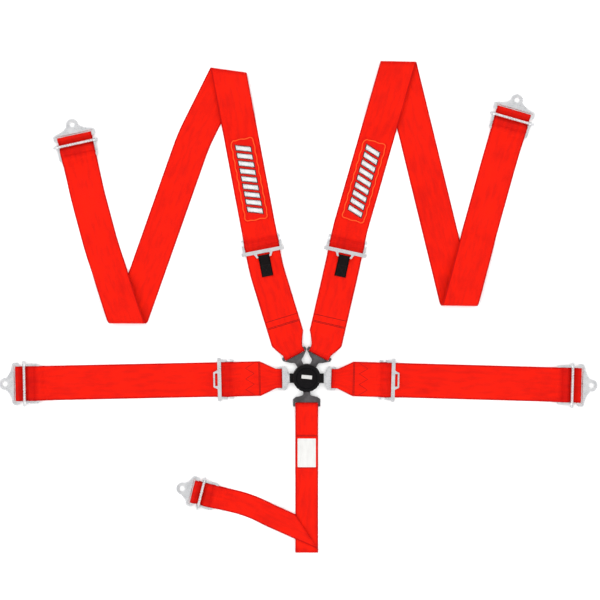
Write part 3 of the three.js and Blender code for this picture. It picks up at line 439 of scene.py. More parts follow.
def shoulder_profile(belt):
    half = belt["web"]["half"]
    at = belt["adjuster"]
    lug = at - LUG_END - 6
    raised = FLOOR_LAYER + 2 * SOFT_FOLD
    loose_top = FLOOR_LAYER + 2 * LOOSE_FOLD
    first_cross = crossing(half, belt["fold_skew"])
    fold = at + PATCH_END + belt["fold_gap"] + RAMP / 2 + first_cross
    ramp_up = fold - first_cross
    second = fold - belt["second_run"]
    ramp_down = second + crossing(half, belt["second_skew"])
    slide = second + belt["third_run"]
    steer = belt["adjuster_turn"]
    return [
        *sewn_layer(belt),
        corner(lug, FLOOR_LAYER, half, turn=steer),
        corner(lug - 40, FLOOR_LAYER, half),
        *tongue_loop(belt["web"], belt["tongue_turn"]),
        corner(lug - 40, SECOND_LAYER, half, turn=steer),
        corner(lug, SECOND_LAYER, half),
        corner(at, SECOND_LAYER, half, mark="adjuster"),
        *through_adjuster(at, False, half),
        corner(at + REAR_FAR + 12, FLOOR_LAYER, half, 10, turn=belt["patch_turn"]),
        corner(at + PATCH["from_bar"] - PATCH["length"] / 2 - 4, FLOOR_LAYER, half),
        corner(at + PATCH["from_bar"], FLOOR_LAYER, half, mark="patch"),
        corner(ramp_up - RAMP / 2, FLOOR_LAYER, half, 50),
        corner(ramp_up + RAMP / 2, raised, half, 50),
        *half_turn(fold, raised, FLOOR_LAYER, 1, half, belt["fold_skew"]),
        corner(ramp_up - RAMP, FLOOR_LAYER, half, turn=belt["run_turn"]),
        corner(ramp_up - RAMP - CURVE, FLOOR_LAYER, half),
        corner(ramp_down + RAMP, FLOOR_LAYER, half),
        *half_turn(second, FLOOR_LAYER, loose_top, -1, half, belt["second_skew"]),
        corner(second + RAMP, loose_top, half, 60),
        corner(ramp_down - RAMP / 2, raised, half, 50),
        corner(ramp_down + RAMP / 2, FLOOR_LAYER, half, 50),
        corner(ramp_down + RAMP, FLOOR_LAYER, half, turn=belt["third_turn"]),
        corner(ramp_down + RAMP + CURVE, FLOOR_LAYER, half),
        corner(slide - TAIL - 90, FLOOR_LAYER, half, turn=belt["end_turn"]),
        corner(slide - TAIL - 40, FLOOR_LAYER, half),
        *anchor_end(slide, half),
    ]


def lap_profile(belt):
    half = belt["web"]["half"]
    at = belt["adjuster"]
    return [
        *sewn_layer(belt),
        *tongue_loop(belt["web"], 0.0),
        corner(at - REAR_FAR - 14, SECOND_LAYER, half, 20),
        *through_adjuster(at, True, half),
        corner(at, SECOND_LAYER, half, mark="adjuster"),
        corner(at + 8, SECOND_LAYER, half, 30),
        corner(at + 36, FLOOR_LAYER, half, 30),
        *anchor_end(belt["slide"], half),
    ]


def crotch_profile(belt):
    half = belt["web"]["half"]
    second = FLOOR_LAYER + 2 * TIGHT_FOLD
    third = second + 2 * TIGHT_FOLD
    diagonal = belt["first_fold"] - belt["second_fold"]
    slide = diagonal + belt["slide"]
    return [
        corner(belt["hem"], FLOOR_LAYER, half),
        *tongue_loop(belt["web"], 0.0),
        corner(LABEL["from_tongue"], SECOND_LAYER, half, mark="label"),
        corner(belt["hem"] + 4, SECOND_LAYER, half, 30),
        corner(belt["hem"] + 20, FLOOR_LAYER, half, 30),
        *half_turn(belt["first_fold"], FLOOR_LAYER, second, 1, half),
        *half_turn(diagonal, second, third, -1, half, belt["fold_skew"]),
        corner(diagonal + 82, third, half, 30),
        corner(diagonal + 112, FLOOR_LAYER, half, 30, turn=belt["end_turn"]),
        corner(slide - TAIL - 30, FLOOR_LAYER, half),
        *anchor_end(slide, half),
    ]


PROFILES = {"shoulder": shoulder_profile, "lap": lap_profile, "crotch": crotch_profile}

# ---------------------------------------------------------------- materials


class Nodes:
    """A material's node tree, with short ways to add and join nodes."""

    def __init__(self, name, **constants):
        self.material = bpy.data.materials.new(name)
        self.material.use_nodes = True
        self.tree = self.material.node_tree
        self.tree.nodes.clear()
        self.shader = self.add("ShaderNodeBsdfPrincipled")
        for socket, value in constants.items():
            self.shader.inputs[socket.replace("_", " ")].default_value = value
        output = self.add("ShaderNodeOutputMaterial")
        self.join(self.shader.outputs[0], output.inputs[0])

    def add(self, kind, **settings):
        node = self.tree.nodes.new(kind)
        for name, value in settings.items():
            setattr(node, name, value)
        return node

    def join(self, source, target):
        if isinstance(source, bpy.types.NodeSocket):
            self.tree.links.new(source, target)
        else:
            target.default_value = source

    def math(self, operation, a, b=0.0, c=0.0):
        node = self.add("ShaderNodeMath", operation=operation)
        for socket, value in zip(node.inputs, (a, b, c)):
            self.join(value, socket)
        return node.outputs[0]

    def wave(self, value, pitch, phase=0.0):
        return self.math("SINE", self.math("MULTIPLY_ADD", value, 2 * math.pi / pitch, phase))

    def span(self, value, low, high, to_low, to_high):
        node = self.add("ShaderNodeMapRange")
        for socket, number in zip(node.inputs[:5], (value, low, high, to_low, to_high)):
            self.join(number, socket)
        return node.outputs[0]

    def noise(self, vector, scale, detail=3.0, roughness=0.55):
        node = self.add("ShaderNodeTexNoise")
        self.join(vector, node.inputs["Vector"])
        node.inputs["Scale"].default_value = scale
        node.inputs["Detail"].default_value = detail
        node.inputs["Roughness"].default_value = roughness
        return node.outputs[0]

    def vector(self, x, y, z=0.0):
        node = self.add("ShaderNodeCombineXYZ")
        for socket, value in zip(node.inputs, (x, y, z)):
            self.join(value, socket)
        return node.outputs[0]

    def blend(self, factor, low, high):
        node = self.add("ShaderNodeMix", data_type="RGBA")
        self.join(factor, node.inputs["Factor"])
        self.join(low, node.inputs[6])
        self.join(high, node.inputs[7])
        return node.outputs[2]

    def bump(self, height, strength, distance, normal=None):
        node = self.add("ShaderNodeBump")
        node.inputs["Strength"].default_value = strength
        node.inputs["Distance"].default_value = distance
        self.join(height, node.inputs["Height"])
        if normal is not None:
            self.join(normal, node.inputs["Normal"])
        return node.outputs[0]

    def attribute(self, name):
        node = self.add("ShaderNodeAttribute", attribute_name=name)
        split = self.add("ShaderNodeSeparateXYZ")
        self.join(node.outputs["Vector"], split.inputs[0])
        return split.outputs

    def stretched(self, along, across, length, width):
        """Cloth coordinates for a pattern of about this length and width."""
        return self.vector(self.math("DIVIDE", along, length), self.math("DIVIDE", across, width))

    def amount(self, name):
        return self.add("ShaderNodeAttribute", attribute_name=name).outputs["Fac"]

    def object_place(self):
        return self.add("ShaderNodeTexCoord").outputs["Object"]

    def surface(self, name, source):
        self.join(source, self.shader.inputs[name])


def rgba(red, green, blue):
    return (red, green, blue, 1.0)


def woven(name, low, high, rib, pick, relief, **constants):
    """Woven cloth. Its weave attribute holds millimetres along, millimetres across and how far in from the
    selvedge a point is. Its attribute of painted shade is 1 where a tight bend is painted darker, as shade
    in the fold."""
    nodes = Nodes(name, **constants)
    along, across, inset = nodes.attribute("weave")
    ribs = nodes.wave(across, rib)
    stagger = nodes.math("MULTIPLY", nodes.math("FLOOR", nodes.math("DIVIDE", across, rib)), math.pi)
    picks = nodes.wave(along, pick, stagger)
    yarn = nodes.math("MULTIPLY_ADD", picks, 0.45, ribs)
    streaks = nodes.noise(nodes.stretched(along, across, 40.0, 9.0), 1.0)
    broad = nodes.noise(nodes.object_place(), 9.0, 4.0)
    fuzz = nodes.noise(nodes.object_place(), 900.0, 2.0)
    selvedge = nodes.span(inset, 2.4, 3.4, 0.5, 0.0)
    shade = nodes.math("MULTIPLY_ADD", yarn, 0.13, 0.52)
    for texture, amount in ((streaks, 0.8), (broad, 0.6), (fuzz, 0.25)):
        swing = nodes.math("SUBTRACT", texture, 0.5)
        shade = nodes.math("MULTIPLY_ADD", swing, amount, shade)
    shade = nodes.math("SUBTRACT", shade, selvedge)
    # Painted shade: the cloth is painted darker at tight bends, where shade falls in the fold.
    shade = nodes.math("MULTIPLY_ADD", nodes.amount("crease_shade"), -0.3, shade)
    shade = nodes.math("MINIMUM", nodes.math("MAXIMUM", shade, 0.0), 1.0)
    nodes.surface("Base Color", nodes.blend(shade, rgba(*low), rgba(*high)))
    nodes.surface("Roughness", nodes.span(streaks, 0.3, 0.7, 0.72, 0.92))
    folds = nodes.noise(nodes.stretched(along, across, 26.0, 70.0), 1.0, 2.0)
    ripple = nodes.bump(folds, 0.35, 0.004)
    nodes.surface("Normal", nodes.bump(yarn, relief, 0.00035, ripple))
    return nodes.material


def metal(name, low, high, roughness, metallic, worn=None, **constants):
    """Plated or painted steel, with fine scratches, soft blotches and paler worn edges."""
    nodes = Nodes(name, Metallic=metallic, **constants)
    place = nodes.object_place()
    stretch = nodes.add("ShaderNodeMapping")
    stretch.inputs["Scale"].default_value = (60.0, 900.0, 900.0)
    stretch.inputs["Rotation"].default_value = (0.0, 0.0, 0.7)
    nodes.join(place, stretch.inputs["Vector"])
    scratches = nodes.noise(stretch.outputs[0], 1.0, 4.0)
    blotches = nodes.noise(place, 70.0, 4.0)
    colour = nodes.blend(nodes.span(blotches, 0.3, 0.7, 0.0, 1.0), rgba(*low), rgba(*high))
    if worn:
        edge = nodes.add("ShaderNodeNewGeometry").outputs["Pointiness"]
        rubbed = nodes.math("MULTIPLY", nodes.span(edge, 0.53, 0.6, 0.0, 0.8), blotches)
        colour = nodes.blend(rubbed, colour, rgba(*worn))
    nodes.surface("Base Color", colour)
    rough = nodes.math("MULTIPLY_ADD", nodes.math("SUBTRACT", scratches, 0.5), 0.1, roughness)
    nodes.surface("Roughness", nodes.math("MULTIPLY_ADD", blotches, 0.08, rough))
    nodes.surface("Normal", nodes.bump(scratches, 0.05, 0.0002))
    return nodes.material


def plastic(name, low, high, roughness, grain, **constants):
    """Moulded plastic with a fine grain and scuffed, slightly paler edges."""
    nodes = Nodes(name, **constants)
    place = nodes.object_place()
    fine = nodes.noise(place, 1500.0, 2.0)
    scuffs = nodes.noise(place, 120.0, 5.0)
    edge = nodes.add("ShaderNodeNewGeometry").outputs["Pointiness"]
    rubbed = nodes.math("MULTIPLY", nodes.span(edge, 0.52, 0.6, 0.0, 0.7), scuffs)
    shade = nodes.math("ADD", nodes.math("MULTIPLY", fine, 0.4), rubbed)
    nodes.surface("Base Color", nodes.blend(shade, rgba(*low), rgba(*high)))
    nodes.surface("Roughness", nodes.math("MULTIPLY_ADD", scuffs, 0.2, roughness))
    nodes.surface("Normal", nodes.bump(fine, grain, 0.0002))
    return nodes.material


def thread(name, low, high):
    """Sewing thread: a twisted yarn."""
    nodes = Nodes(name, Specular_IOR_Level=0.12)
    place = nodes.object_place()
    twist = nodes.noise(place, 1400.0, 2.0)
    nodes.surface("Base Color", nodes.blend(twist, rgba(*low), rgba(*high)))
    nodes.surface("Roughness", nodes.span(twist, 0.3, 0.7, 0.5, 0.75))
    nodes.surface("Normal", nodes.bump(twist, 0.4, 0.0003))
    return nodes.material


# What each material slot of the record looks like, and then the looks that only some pieces have.
RED_LOW = (0.47, 0.003, 0.002)
RED_HIGH = (0.98, 0.015, 0.003)
MATERIALS = {
    "webbing": woven("red_webbing", RED_LOW, RED_HIGH, 1.7, 1.1, 0.5, Specular_IOR_Level=0.1),
    "tab_webbing": woven("black_webbing", (0.002, 0.002, 0.002), (0.012, 0.009, 0.009), 1.4, 1.0,
                         0.5, Specular_IOR_Level=0.08),
    "patch_cloth": woven("patch_cloth", (0.5, 0.004, 0.002), (0.82, 0.011, 0.004), 0.8, 0.8, 0.35,
                         Specular_IOR_Level=0.1),
    "label_cloth": woven("label_cloth", (0.56, 0.555, 0.54), (0.8, 0.8, 0.78), 0.7, 0.7, 0.25,
                         Specular_IOR_Level=0.2),
    "bright_steel": metal("bright_steel", (0.72, 0.73, 0.75), (0.92, 0.92, 0.93), 0.24, 1.0),
    "black_steel": metal("black_steel", (0.06, 0.056, 0.058), (0.15, 0.14, 0.145), 0.3, 0.9,
                         (0.45, 0.45, 0.46)),
    "black_plastic": plastic("black_plastic", (0.002, 0.002, 0.0025), (0.012, 0.011, 0.012), 0.42,
                             0.2, Specular_IOR_Level=0.08),
    "gloss_black": plastic("gloss_black", (0.002, 0.0015, 0.002), (0.006, 0.005, 0.006), 0.16,
                           0.02, Specular_IOR_Level=0.1),
    "inlay": plastic("disc_inlay", (0.5, 0.49, 0.48), (0.74, 0.73, 0.71), 0.35, 0.05,
                     Specular_IOR_Level=0.3),
    "thread": thread("red_thread", (0.3, 0.003, 0.002), (0.5, 0.006, 0.004)),
    "dark_thread": thread("dark_thread", (0.12, 0.002, 0.002), (0.3, 0.004, 0.003)),
    "orange_thread": thread("orange_thread", (0.8, 0.07, 0.012), (0.98, 0.15, 0.03)),
    "white_thread": thread("white_thread", (0.58, 0.57, 0.57), (0.84, 0.83, 0.84)),
    "black_thread": thread("black_thread", (0.008, 0.007, 0.007), (0.03, 0.027, 0.027)),
}

# ---------------------------------------------------------------- making pieces


UP = Vector((0, 0, 1))


def add_object(name, data):
    thing = bpy.data.objects.new(name, data)
    bpy.context.scene.collection.objects.link(thing)
    return thing


def add_piece(name, mesh, slot, body, replaced=(), look=None, smooth=35.0):
    """Adds a mesh that is already in place, and rides it on its body. It looks like its slot
    unless another look is named, and stands for a replaced CAD node."""
    piece = add_object(name, mesh)
    mesh.materials.clear()
    mesh.materials.append(MATERIALS[look or slot])
    mesh.shade_smooth()
    mesh.set_sharp_from_angle(angle=math.radians(smooth))
    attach(piece, body)
    if replaced:
        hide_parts(*replaced)
    return piece


def mesh_of(name, vertices, faces, place):
    """A mesh from millimetre vertices, moved by a placing matrix in millimetres."""
    m = np.array(place)
    points = np.asarray(vertices, dtype=float) @ m[:3, :3].T + m[:3, 3]
    mesh = bpy.data.meshes.new(name)
    mesh.from_pydata((points * MM).tolist(), [], faces)
    mesh.update()
    return mesh


def set_weave(mesh, values):
    layer = mesh.attributes.new("weave", "FLOAT_VECTOR", "POINT")
    layer.data.foreach_set("vector", np.asarray(values, dtype=np.float32).ravel())


def merge(mesh, face_out=False):
    """Joins a mesh's doubled vertices, and turns its faces out if asked."""
    work = bmesh.new()
    work.from_mesh(mesh)
    bmesh.ops.remove_doubles(work, verts=work.verts, dist=1e-6)
    if face_out:
        bmesh.ops.recalc_face_normals(work, faces=work.faces)
    work.to_mesh(mesh)
    work.free()


def loft(rings, looped=False):
    """Faces that join equal rings of points one after another, with flat ends unless looped."""
    count = len(rings[0])
    faces = []
    for i in range(len(rings) if looped else len(rings) - 1):
        a = i * count
        b = ((i + 1) % len(rings)) * count
        for k in range(count):
            n = (k + 1) % count
            faces.append((a + k, a + n, b + n, b + k))
    if not looped:
        faces.append(tuple(range(count - 1, -1, -1)))
        last = (len(rings) - 1) * count
        faces.append(tuple(range(last, last + count)))
    return faces


FACE_POINTS = 11
EDGE_POINTS = 3


def ribbon_section(half, thickness):
    """Across and height of the points round a strip with round selvedges."""
    r = thickness / 2
    flat = half - r
    tops = [(flat * (1 - 2 * k / (FACE_POINTS - 1)), r) for k in range(FACE_POINTS)]
    section = list(tops)
    for k in range(1, EDGE_POINTS + 1):
        angle = math.pi * k / (EDGE_POINTS + 1)
        section.append((-flat - r * math.sin(angle), r * math.cos(angle)))
    section += [(-across, -height) for across, height in tops]
    for k in range(1, EDGE_POINTS + 1):
        angle = math.pi * k / (EDGE_POINTS + 1)
        section.append((flat + r * math.sin(angle), -r * math.cos(angle)))
    return section


# Bends tighter than this radius get painted shade, spread about this far in millimetres each way along the
# webbing.
SHADED_BEND_RADIUS = 5.0
SHADE_REACH = 6.0


def painted_shade_at(layout, s):
    """How much painted shade darkens the webbing at tight bends, at a length along it, from 0 to 1."""
    depth = 0.0
    for bend in layout.bends:
        if bend["radius"] < SHADED_BEND_RADIUS:
            middle = bend["s"] + abs(bend["angle"]) * bend["radius"] / 2
            depth += min(1.0, abs(bend["angle"])) * math.exp(-(((s - middle) / SHADE_REACH) ** 2))
    return min(1.0, depth)


def webbing_mesh(name, layout, full_half, place):
    rows = []
    for row in layout.rows:
        if not rows or row[0] - rows[-1][0] > 1e-4:
            rows.append(row)
    vertices = []
    weave = []
    crease_shades = []
    for s, skew, half in rows:
        c = centre_of(layout.stretches, s)
        section = ribbon_section(half, WEBBING - 0.04)
        flat = []
        for across, height in section:
            along = -across * math.tan(skew)
            x = c["x"] + along * math.cos(c["beta"]) - across * math.sin(c["beta"])
            y = c["y"] + along * math.sin(c["beta"]) + across * math.cos(c["beta"])
            flat.append((x, y, height))
            weave.append((s + along, across * full_half / half, (half - abs(across)) * full_half / half))
        vertices.append(layout.fold(s, flat))
        crease_shades += [painted_shade_at(layout, s)] * len(flat)
    count = len(ribbon_section(full_half, WEBBING))
    faces = loft([range(count)] * len(vertices))
    mesh = mesh_of(name, np.vstack(vertices), faces, place)
    set_weave(mesh, weave)
    # Painted shade at the tight bends, which the webbing's material darkens the cloth by.
    mesh.attributes.new("crease_shade", "FLOAT", "POINT").data.foreach_set("value", crease_shades)
    return mesh


def curve_plate(name, outline, holes, low, high, edge, place):
    """A flat plate with rounded edges, from an outline and holes given as lists of points."""
    curve = bpy.data.curves.new(name, "CURVE")
    curve.dimensions = "2D"
    curve.fill_mode = "BOTH"
    curve.extrude = (high - low) / 2 - edge
    curve.bevel_depth = edge
    curve.bevel_resolution = 4
    curve.offset = -edge
    for points in [outline, *holes]:
        spline = curve.splines.new("POLY")
        spline.points.add(len(points) - 1)
        spline.use_cyclic_u = True
        for target, (x, y) in zip(spline.points, points):
            target.co = (x, y, 0.0, 1.0)
    holder = add_object(name, curve)
    depsgraph = bpy.context.evaluated_depsgraph_get()
    mesh = bpy.data.meshes.new_from_object(holder.evaluated_get(depsgraph))
    bpy.data.objects.remove(holder)
    bpy.data.curves.remove(curve)
    lifted = place @ Matrix.Translation((0, 0, (low + high) / 2))
    mesh.transform(Matrix.Scale(MM, 4) @ lifted)
    merge(mesh)
    return mesh


def arc(x, y, radius, start, end, steps=8):
    """Points on an arc, with its angles in degrees."""
    points = []
    for k in range(steps + 1):
        angle = math.radians(mix(start, end, k / steps))
        points.append((x + radius * math.cos(angle), y + radius * math.sin(angle)))
    return points


def bezier(a, control, b, steps=8):
    """Points on a quadratic curve, without its first one."""
    points = []
    for k in range(1, steps + 1):
        t = k / steps
        x = mix(mix(a[0], control[0], t), mix(control[0], b[0], t), t)
        y = mix(mix(a[1], control[1], t), mix(control[1], b[1], t), t)
        points.append((x, y))
    return points


def rounded(x0, y0, x1, y1, r, steps=5):
    return [
        *arc(x1 - r, y1 - r, r, 0, 90, steps),
        *arc(x0 + r, y1 - r, r, 90, 180, steps),
        *arc(x0 + r, y0 + r, r, 180, 270, steps),
        *arc(x1 - r, y0 + r, r, 270, 360, steps),
    ]


def round_hole(x, y, radius):
    return arc(x, y, radius, 0, 360, 40)[:-1]


def mirrored(points):
    """An outline from its half with y below zero, mirrored about the X axis."""
    return points + [(x, -y) for x, y in reversed(points)]


def lathe(name, profile, sides, place, flute=None):
    """A turned solid. flute, if given, says how far each profile point is cut in by an angle."""
    rings = []
    for k in range(sides):
        angle = 2 * math.pi * k / sides
        ring = []
        for i, (r, z) in enumerate(profile):
            radius = r - (flute(i, angle) if flute else 0.0)
            ring.append((radius * math.cos(angle), radius * math.sin(angle), z))
        rings.append(ring)
    mesh = mesh_of(name, np.vstack(rings), loft(rings, looped=True), place)
    merge(mesh, face_out=True)
    return mesh


FLAT_WITHIN = math.radians(3)
SHARP_FROM = math.radians(28)


def bevelled_copy(node, width):
    """A copy of a CAD node's mesh with its sharp edges rounded."""
    work = bmesh.new()
    work.from_mesh(frame["nodes"][node].data)
    bmesh.ops.remove_doubles(work, verts=work.verts, dist=1e-6)
    bmesh.ops.dissolve_limit(work, angle_limit=FLAT_WITHIN, verts=work.verts, edges=work.edges)
    sharp = [edge for edge in work.edges if edge.calc_face_angle(0.0) > SHARP_FROM]
    bmesh.ops.bevel(
        work, geom=sharp, offset=width * MM, segments=3, affect="EDGES", profile=0.5,
        clamp_overlap=True,
    )
    mesh = bpy.data.meshes.new(node + "_finished")
    work.to_mesh(mesh)
    work.free()
    if "custom_normal" in mesh.attributes:
        mesh.attributes.remove(mesh.attributes["custom_normal"])
    return mesh


# A stitch is round, and swells from thin ends to its middle: places along it, and its swell there.
STITCH_RING = [(math.cos(a), math.sin(a)) for a in np.linspace(0, 2 * math.pi, 7)[:-1]]
STITCH_SWELL = [(-0.5, 0.25), (-0.3, 0.85), (0.0, 1.0), (0.3, 0.85), (0.5, 0.25)]


def stitches_mesh(name, stitches, place):
    """One mesh of many stitches. Each is (middle, along, up, length, width, height)."""
    vertices = []
    faces = []
    one_stitch = loft([STITCH_RING] * len(STITCH_SWELL))
    for middle, along, up, length, width, height in stitches:
        side = up.cross(along).normalized()
        base = len(vertices)
        for t, swell in STITCH_SWELL:
            for c, s in STITCH_RING:
                across = side * (c * swell * width / 2)
                lift = up * (s * swell * height / 2)
                vertices.append(tuple(middle + along * (t * length) + across + lift))
        for face in one_stitch:
            faces.append(tuple(base + v for v in face))
    return mesh_of(name, vertices, faces, place)


def sew(layout, path):
    """Seam stitches along a path of (along, across) points on the webbing's upper face."""
    stitches = []
    lift = HALF_WEB + SEAM["proud"]
    for (s0, v0), (s1, v1) in zip(path, path[1:]):
        length = math.hypot(s1 - s0, v1 - v0)
        count = max(1, round(length / SEAM["pitch"]))
        for k in range(count):
            t = (k + 0.5) / count
            s = mix(s0, s1, t)
            v = mix(v0, v1, t)
            middle = layout.spot(s, v, lift)
            ahead = layout.spot(s + (s1 - s0) / length * 0.5, v + (v1 - v0) / length * 0.5, lift)
            up = (layout.spot(s, v, lift + 1) - middle).normalized()
            along = (ahead - middle).normalized()
            size = (length / count * SEAM["filled"], SEAM["width"], SEAM["height"])
            stitches.append((middle, along, up, *size))
    return stitches


def stitch_places(start, end, z, pitch):
    """The middle, direction and spacing of each stitch of a straight run on level cloth."""
    (x0, y0), (x1, y1) = start, end
    span = math.hypot(x1 - x0, y1 - y0)
    count = round(span / pitch)
    places = []
    for k in range(count):
        t = (k + 0.5) / count
        along = Vector(((x1 - x0) / span, (y1 - y0) / span, 0))
        places.append((Vector((mix(x0, x1, t), mix(y0, y1, t), z)), along, span / count))
    return places


def closed(points):
    """The pairs of neighbours round a closed outline."""
    return zip(points, points[1:] + points[:1])


# ---------------------------------------------------------------- camera, light and floor

VIEW = {"x": -0.0147, "y": 0.1707, "height": 2.6, "lens": 70.9, "sensor": 36.0, "far": 30.0}
# How bright the room is at each height, from the horizon at 0 to straight overhead at 1: a pale
# wall, a dark band that gives bright metal its outlines, a ring of light and a dimmer ceiling.
ROOM = [(0.0, 0.65), (0.24, 0.65), (0.3, 0.03), (0.42, 0.03), (0.52, 1.0), (0.7, 1.0), (0.8, 0.5)]
ROOM_STRENGTH = 1.5
FLOOR_HALF = 60.0

camera_data = bpy.data.cameras.new("camera")
camera_data.lens = VIEW["lens"]
camera_data.sensor_width = VIEW["sensor"]
camera_data.clip_end = VIEW["far"]
camera = add_object("camera", camera_data)
camera.location = (VIEW["x"], VIEW["y"], VIEW["height"])
bpy.context.scene.camera = camera
bpy.context.scene.view_settings.view_transform = "Standard"

world = bpy.data.worlds.new("studio")
bpy.context.scene.world = world
world.use_nodes = True
sky = world.node_tree
sky.nodes.clear()
sky_output = sky.nodes.new("ShaderNodeOutputWorld")
backdrop = sky.nodes.new("ShaderNodeBackground")
direction = sky.nodes.new("ShaderNodeTexCoord")
split = sky.nodes.new("ShaderNodeSeparateXYZ")
fade = sky.nodes.new("ShaderNodeValToRGB")
while len(fade.color_ramp.elements) < len(ROOM):
    fade.color_ramp.elements.new(0.5)
for element, (height, grey) in zip(fade.color_ramp.elements, ROOM):
    element.position = height
    element.color = (grey, grey, grey, 1.0)
backdrop.inputs["Strength"].default_value = ROOM_STRENGTH
sky.links.new(direction.outputs["Generated"], split.inputs[0])
sky.links.new(split.outputs["Z"], fade.inputs["Fac"])
sky.links.new(fade.outputs[0], backdrop.inputs["Color"])
sky.links.new(backdrop.outputs[0], sky_output.inputs[0])


def soft_light(name, location, size, energy):
    data = bpy.data.lights.new(name, "AREA")
    data.shape = "DISK"
    data.size = size
    data.energy = energy
    lamp = add_object(name, data)
    lamp.location = location
    lamp.rotation_euler = (-Vector(location)).to_track_quat("-Z", "Y").to_euler()
    lamp.visible_glossy = False
    lamp.visible_camera = False


soft_light("key", (-2.2, 1.8, 1.9), 2.4, 22)
soft_light("fill", (2.2, -1.6, 1.9), 2.4, 14)
soft_light("overhead", (0.0, 0.2, 3.4), 4.0, 56)

floor_mesh = bpy.data.meshes.new("floor")
floor_signs = [(-1, -1), (1, -1), (1, 1), (-1, 1)]
floor_corners = [(x * FLOOR_HALF, y * FLOOR_HALF, 0.0) for x, y in floor_signs]
floor_mesh.from_pydata(floor_corners, [], [(0, 1, 2, 3)])
floor = add_object("floor", floor_mesh)
paper = Nodes("paper", Specular_IOR_Level=0.0)
paper_noise = paper.noise(paper.object_place(), 300.0)
paper.surface("Base Color", paper.blend(paper_noise, rgba(0.93, 0.93, 0.93), rgba(0.96, 0.96, 0.96)))
paper.surface("Roughness", paper.span(paper_noise, 0.0, 1.0, 0.85, 0.95))
floor_mesh.materials.append(paper.material)

# ---------------------------------------------------------------- belt hardware


def tongue_mesh(belt, place):
    flare = FLARE[belt["kind"]]
    slot_half = belt["web"]["tongue_half"] + EDGE_GAP
    half = slot_half + TONGUE_RAIL
    end = REACH + BAR / 2
    knee = (flare["knee"], -flare["knee_half"])
    lower = [(TIP, -TIP_HALF), (SHANK_FROM, -SHANK), (flare["start"], -SHANK)]
    lower += bezier(lower[-1], (flare["knee"] - 2, -SHANK), knee)
    lower += [(flare["full"], -half), *arc(end - 2, -half + 2, 2, -90, 0)]
    inner = REACH - BAR_LOOP - HALF_WEB - RUN
    holes = [
        rounded(inner, -slot_half, REACH - BAR / 2, slot_half, 1.0),
        round_hole(PIN_CIRCLE, 0, PIN_HOLE),
    ]
    low = TONGUE_HEIGHT - PLATE / 2
    name = belt["name"] + "_tongue_plate"
    return curve_plate(name, mirrored(lower), holes, low, low + PLATE, 0.9, place)


def bracket_mesh(belt, place):
    slot_half = belt["web"]["half"] + 3
    half = slot_half + BRACKET["side"]
    back = -BAR / 2
    shoulder = BRACKET["shoulder"]
    hole = BRACKET["hole"]
    lobe = BRACKET["lobe"]
    lower = arc(back + 4, -half + 4, 4, 180, 270)
    lower.append((BRACKET["slot"], -half))
    lower += bezier(lower[-1], (shoulder, -half), (shoulder + 2, -half * 0.72))
    lower += bezier(lower[-1], (hole - 10, -lobe - 6), (hole - 2, -lobe), 14)
    lower += arc(hole, 0, lobe, -84.6, 0, 20)
    holes = [
        rounded(BAR / 2, -slot_half, BRACKET["slot"], slot_half, 1.5),
        round_hole(hole, 0, BRACKET["hole_radius"]),
    ]
    name = belt["name"] + "_bracket_plate"
    return curve_plate(name, mirrored(lower), holes, -PLATE / 2, PLATE / 2, 1.2, place)


def lock_bar_mesh(name, half, place):
    """A rod with rope-like grooves between plain rounded ends."""
    step = 0.8
    sides = 48
    starts = 6
    stripe = 5.8
    groove = 0.5
    plain_end = 3.0
    round_end = 1.2
    end_drop = 0.6
    height = SLIDE_PLATE + LOCK_RADIUS
    steps = int(2 * half / step)
    rings = []
    for k in range(steps + 1):
        y = -half + 2 * half * k / steps
        from_end = half - abs(y)
        into_end = max(0.0, 1 - from_end / round_end)
        radius = LOCK_RADIUS - end_drop * (1 - math.sqrt(max(0.0, 1 - into_end ** 2)))
        ring = []
        for j in range(sides):
            angle = 2 * math.pi * j / sides
            ridge = abs(math.sin((starts * angle + 2 * math.pi * y / stripe) / 2))
            cut = 0.0 if from_end < plain_end else groove * (1 - ridge)
            r = radius - cut
            ring.append((r * math.cos(angle), y, height - r * math.sin(angle)))
        rings.append(ring)
    return mesh_of(name, np.vstack(rings), loft(rings), place)


def path_ribbon(name, path, half, thickness, place):
    """A strip of cloth along a path of (x, z) points, with round selvedges."""
    rings = []
    weave = []
    run = 0.0
    section = ribbon_section(half, thickness)
    for i, (x, z) in enumerate(path):
        before = path[max(i - 1, 0)]
        after = path[min(i + 1, len(path) - 1)]
        if i:
            run += math.hypot(x - before[0], z - before[1])
        length = math.hypot(after[0] - before[0], after[1] - before[1])
        normal = (-(after[1] - before[1]) / length, (after[0] - before[0]) / length)
        ring = []
        for across, height in section:
            ring.append((x + normal[0] * height, across, z + normal[1] * height))
            weave.append((run, across, half - abs(across)))
        rings.append(ring)
    mesh = mesh_of(name, np.vstack(rings), loft(rings), place)
    set_weave(mesh, weave)
    return mesh, run


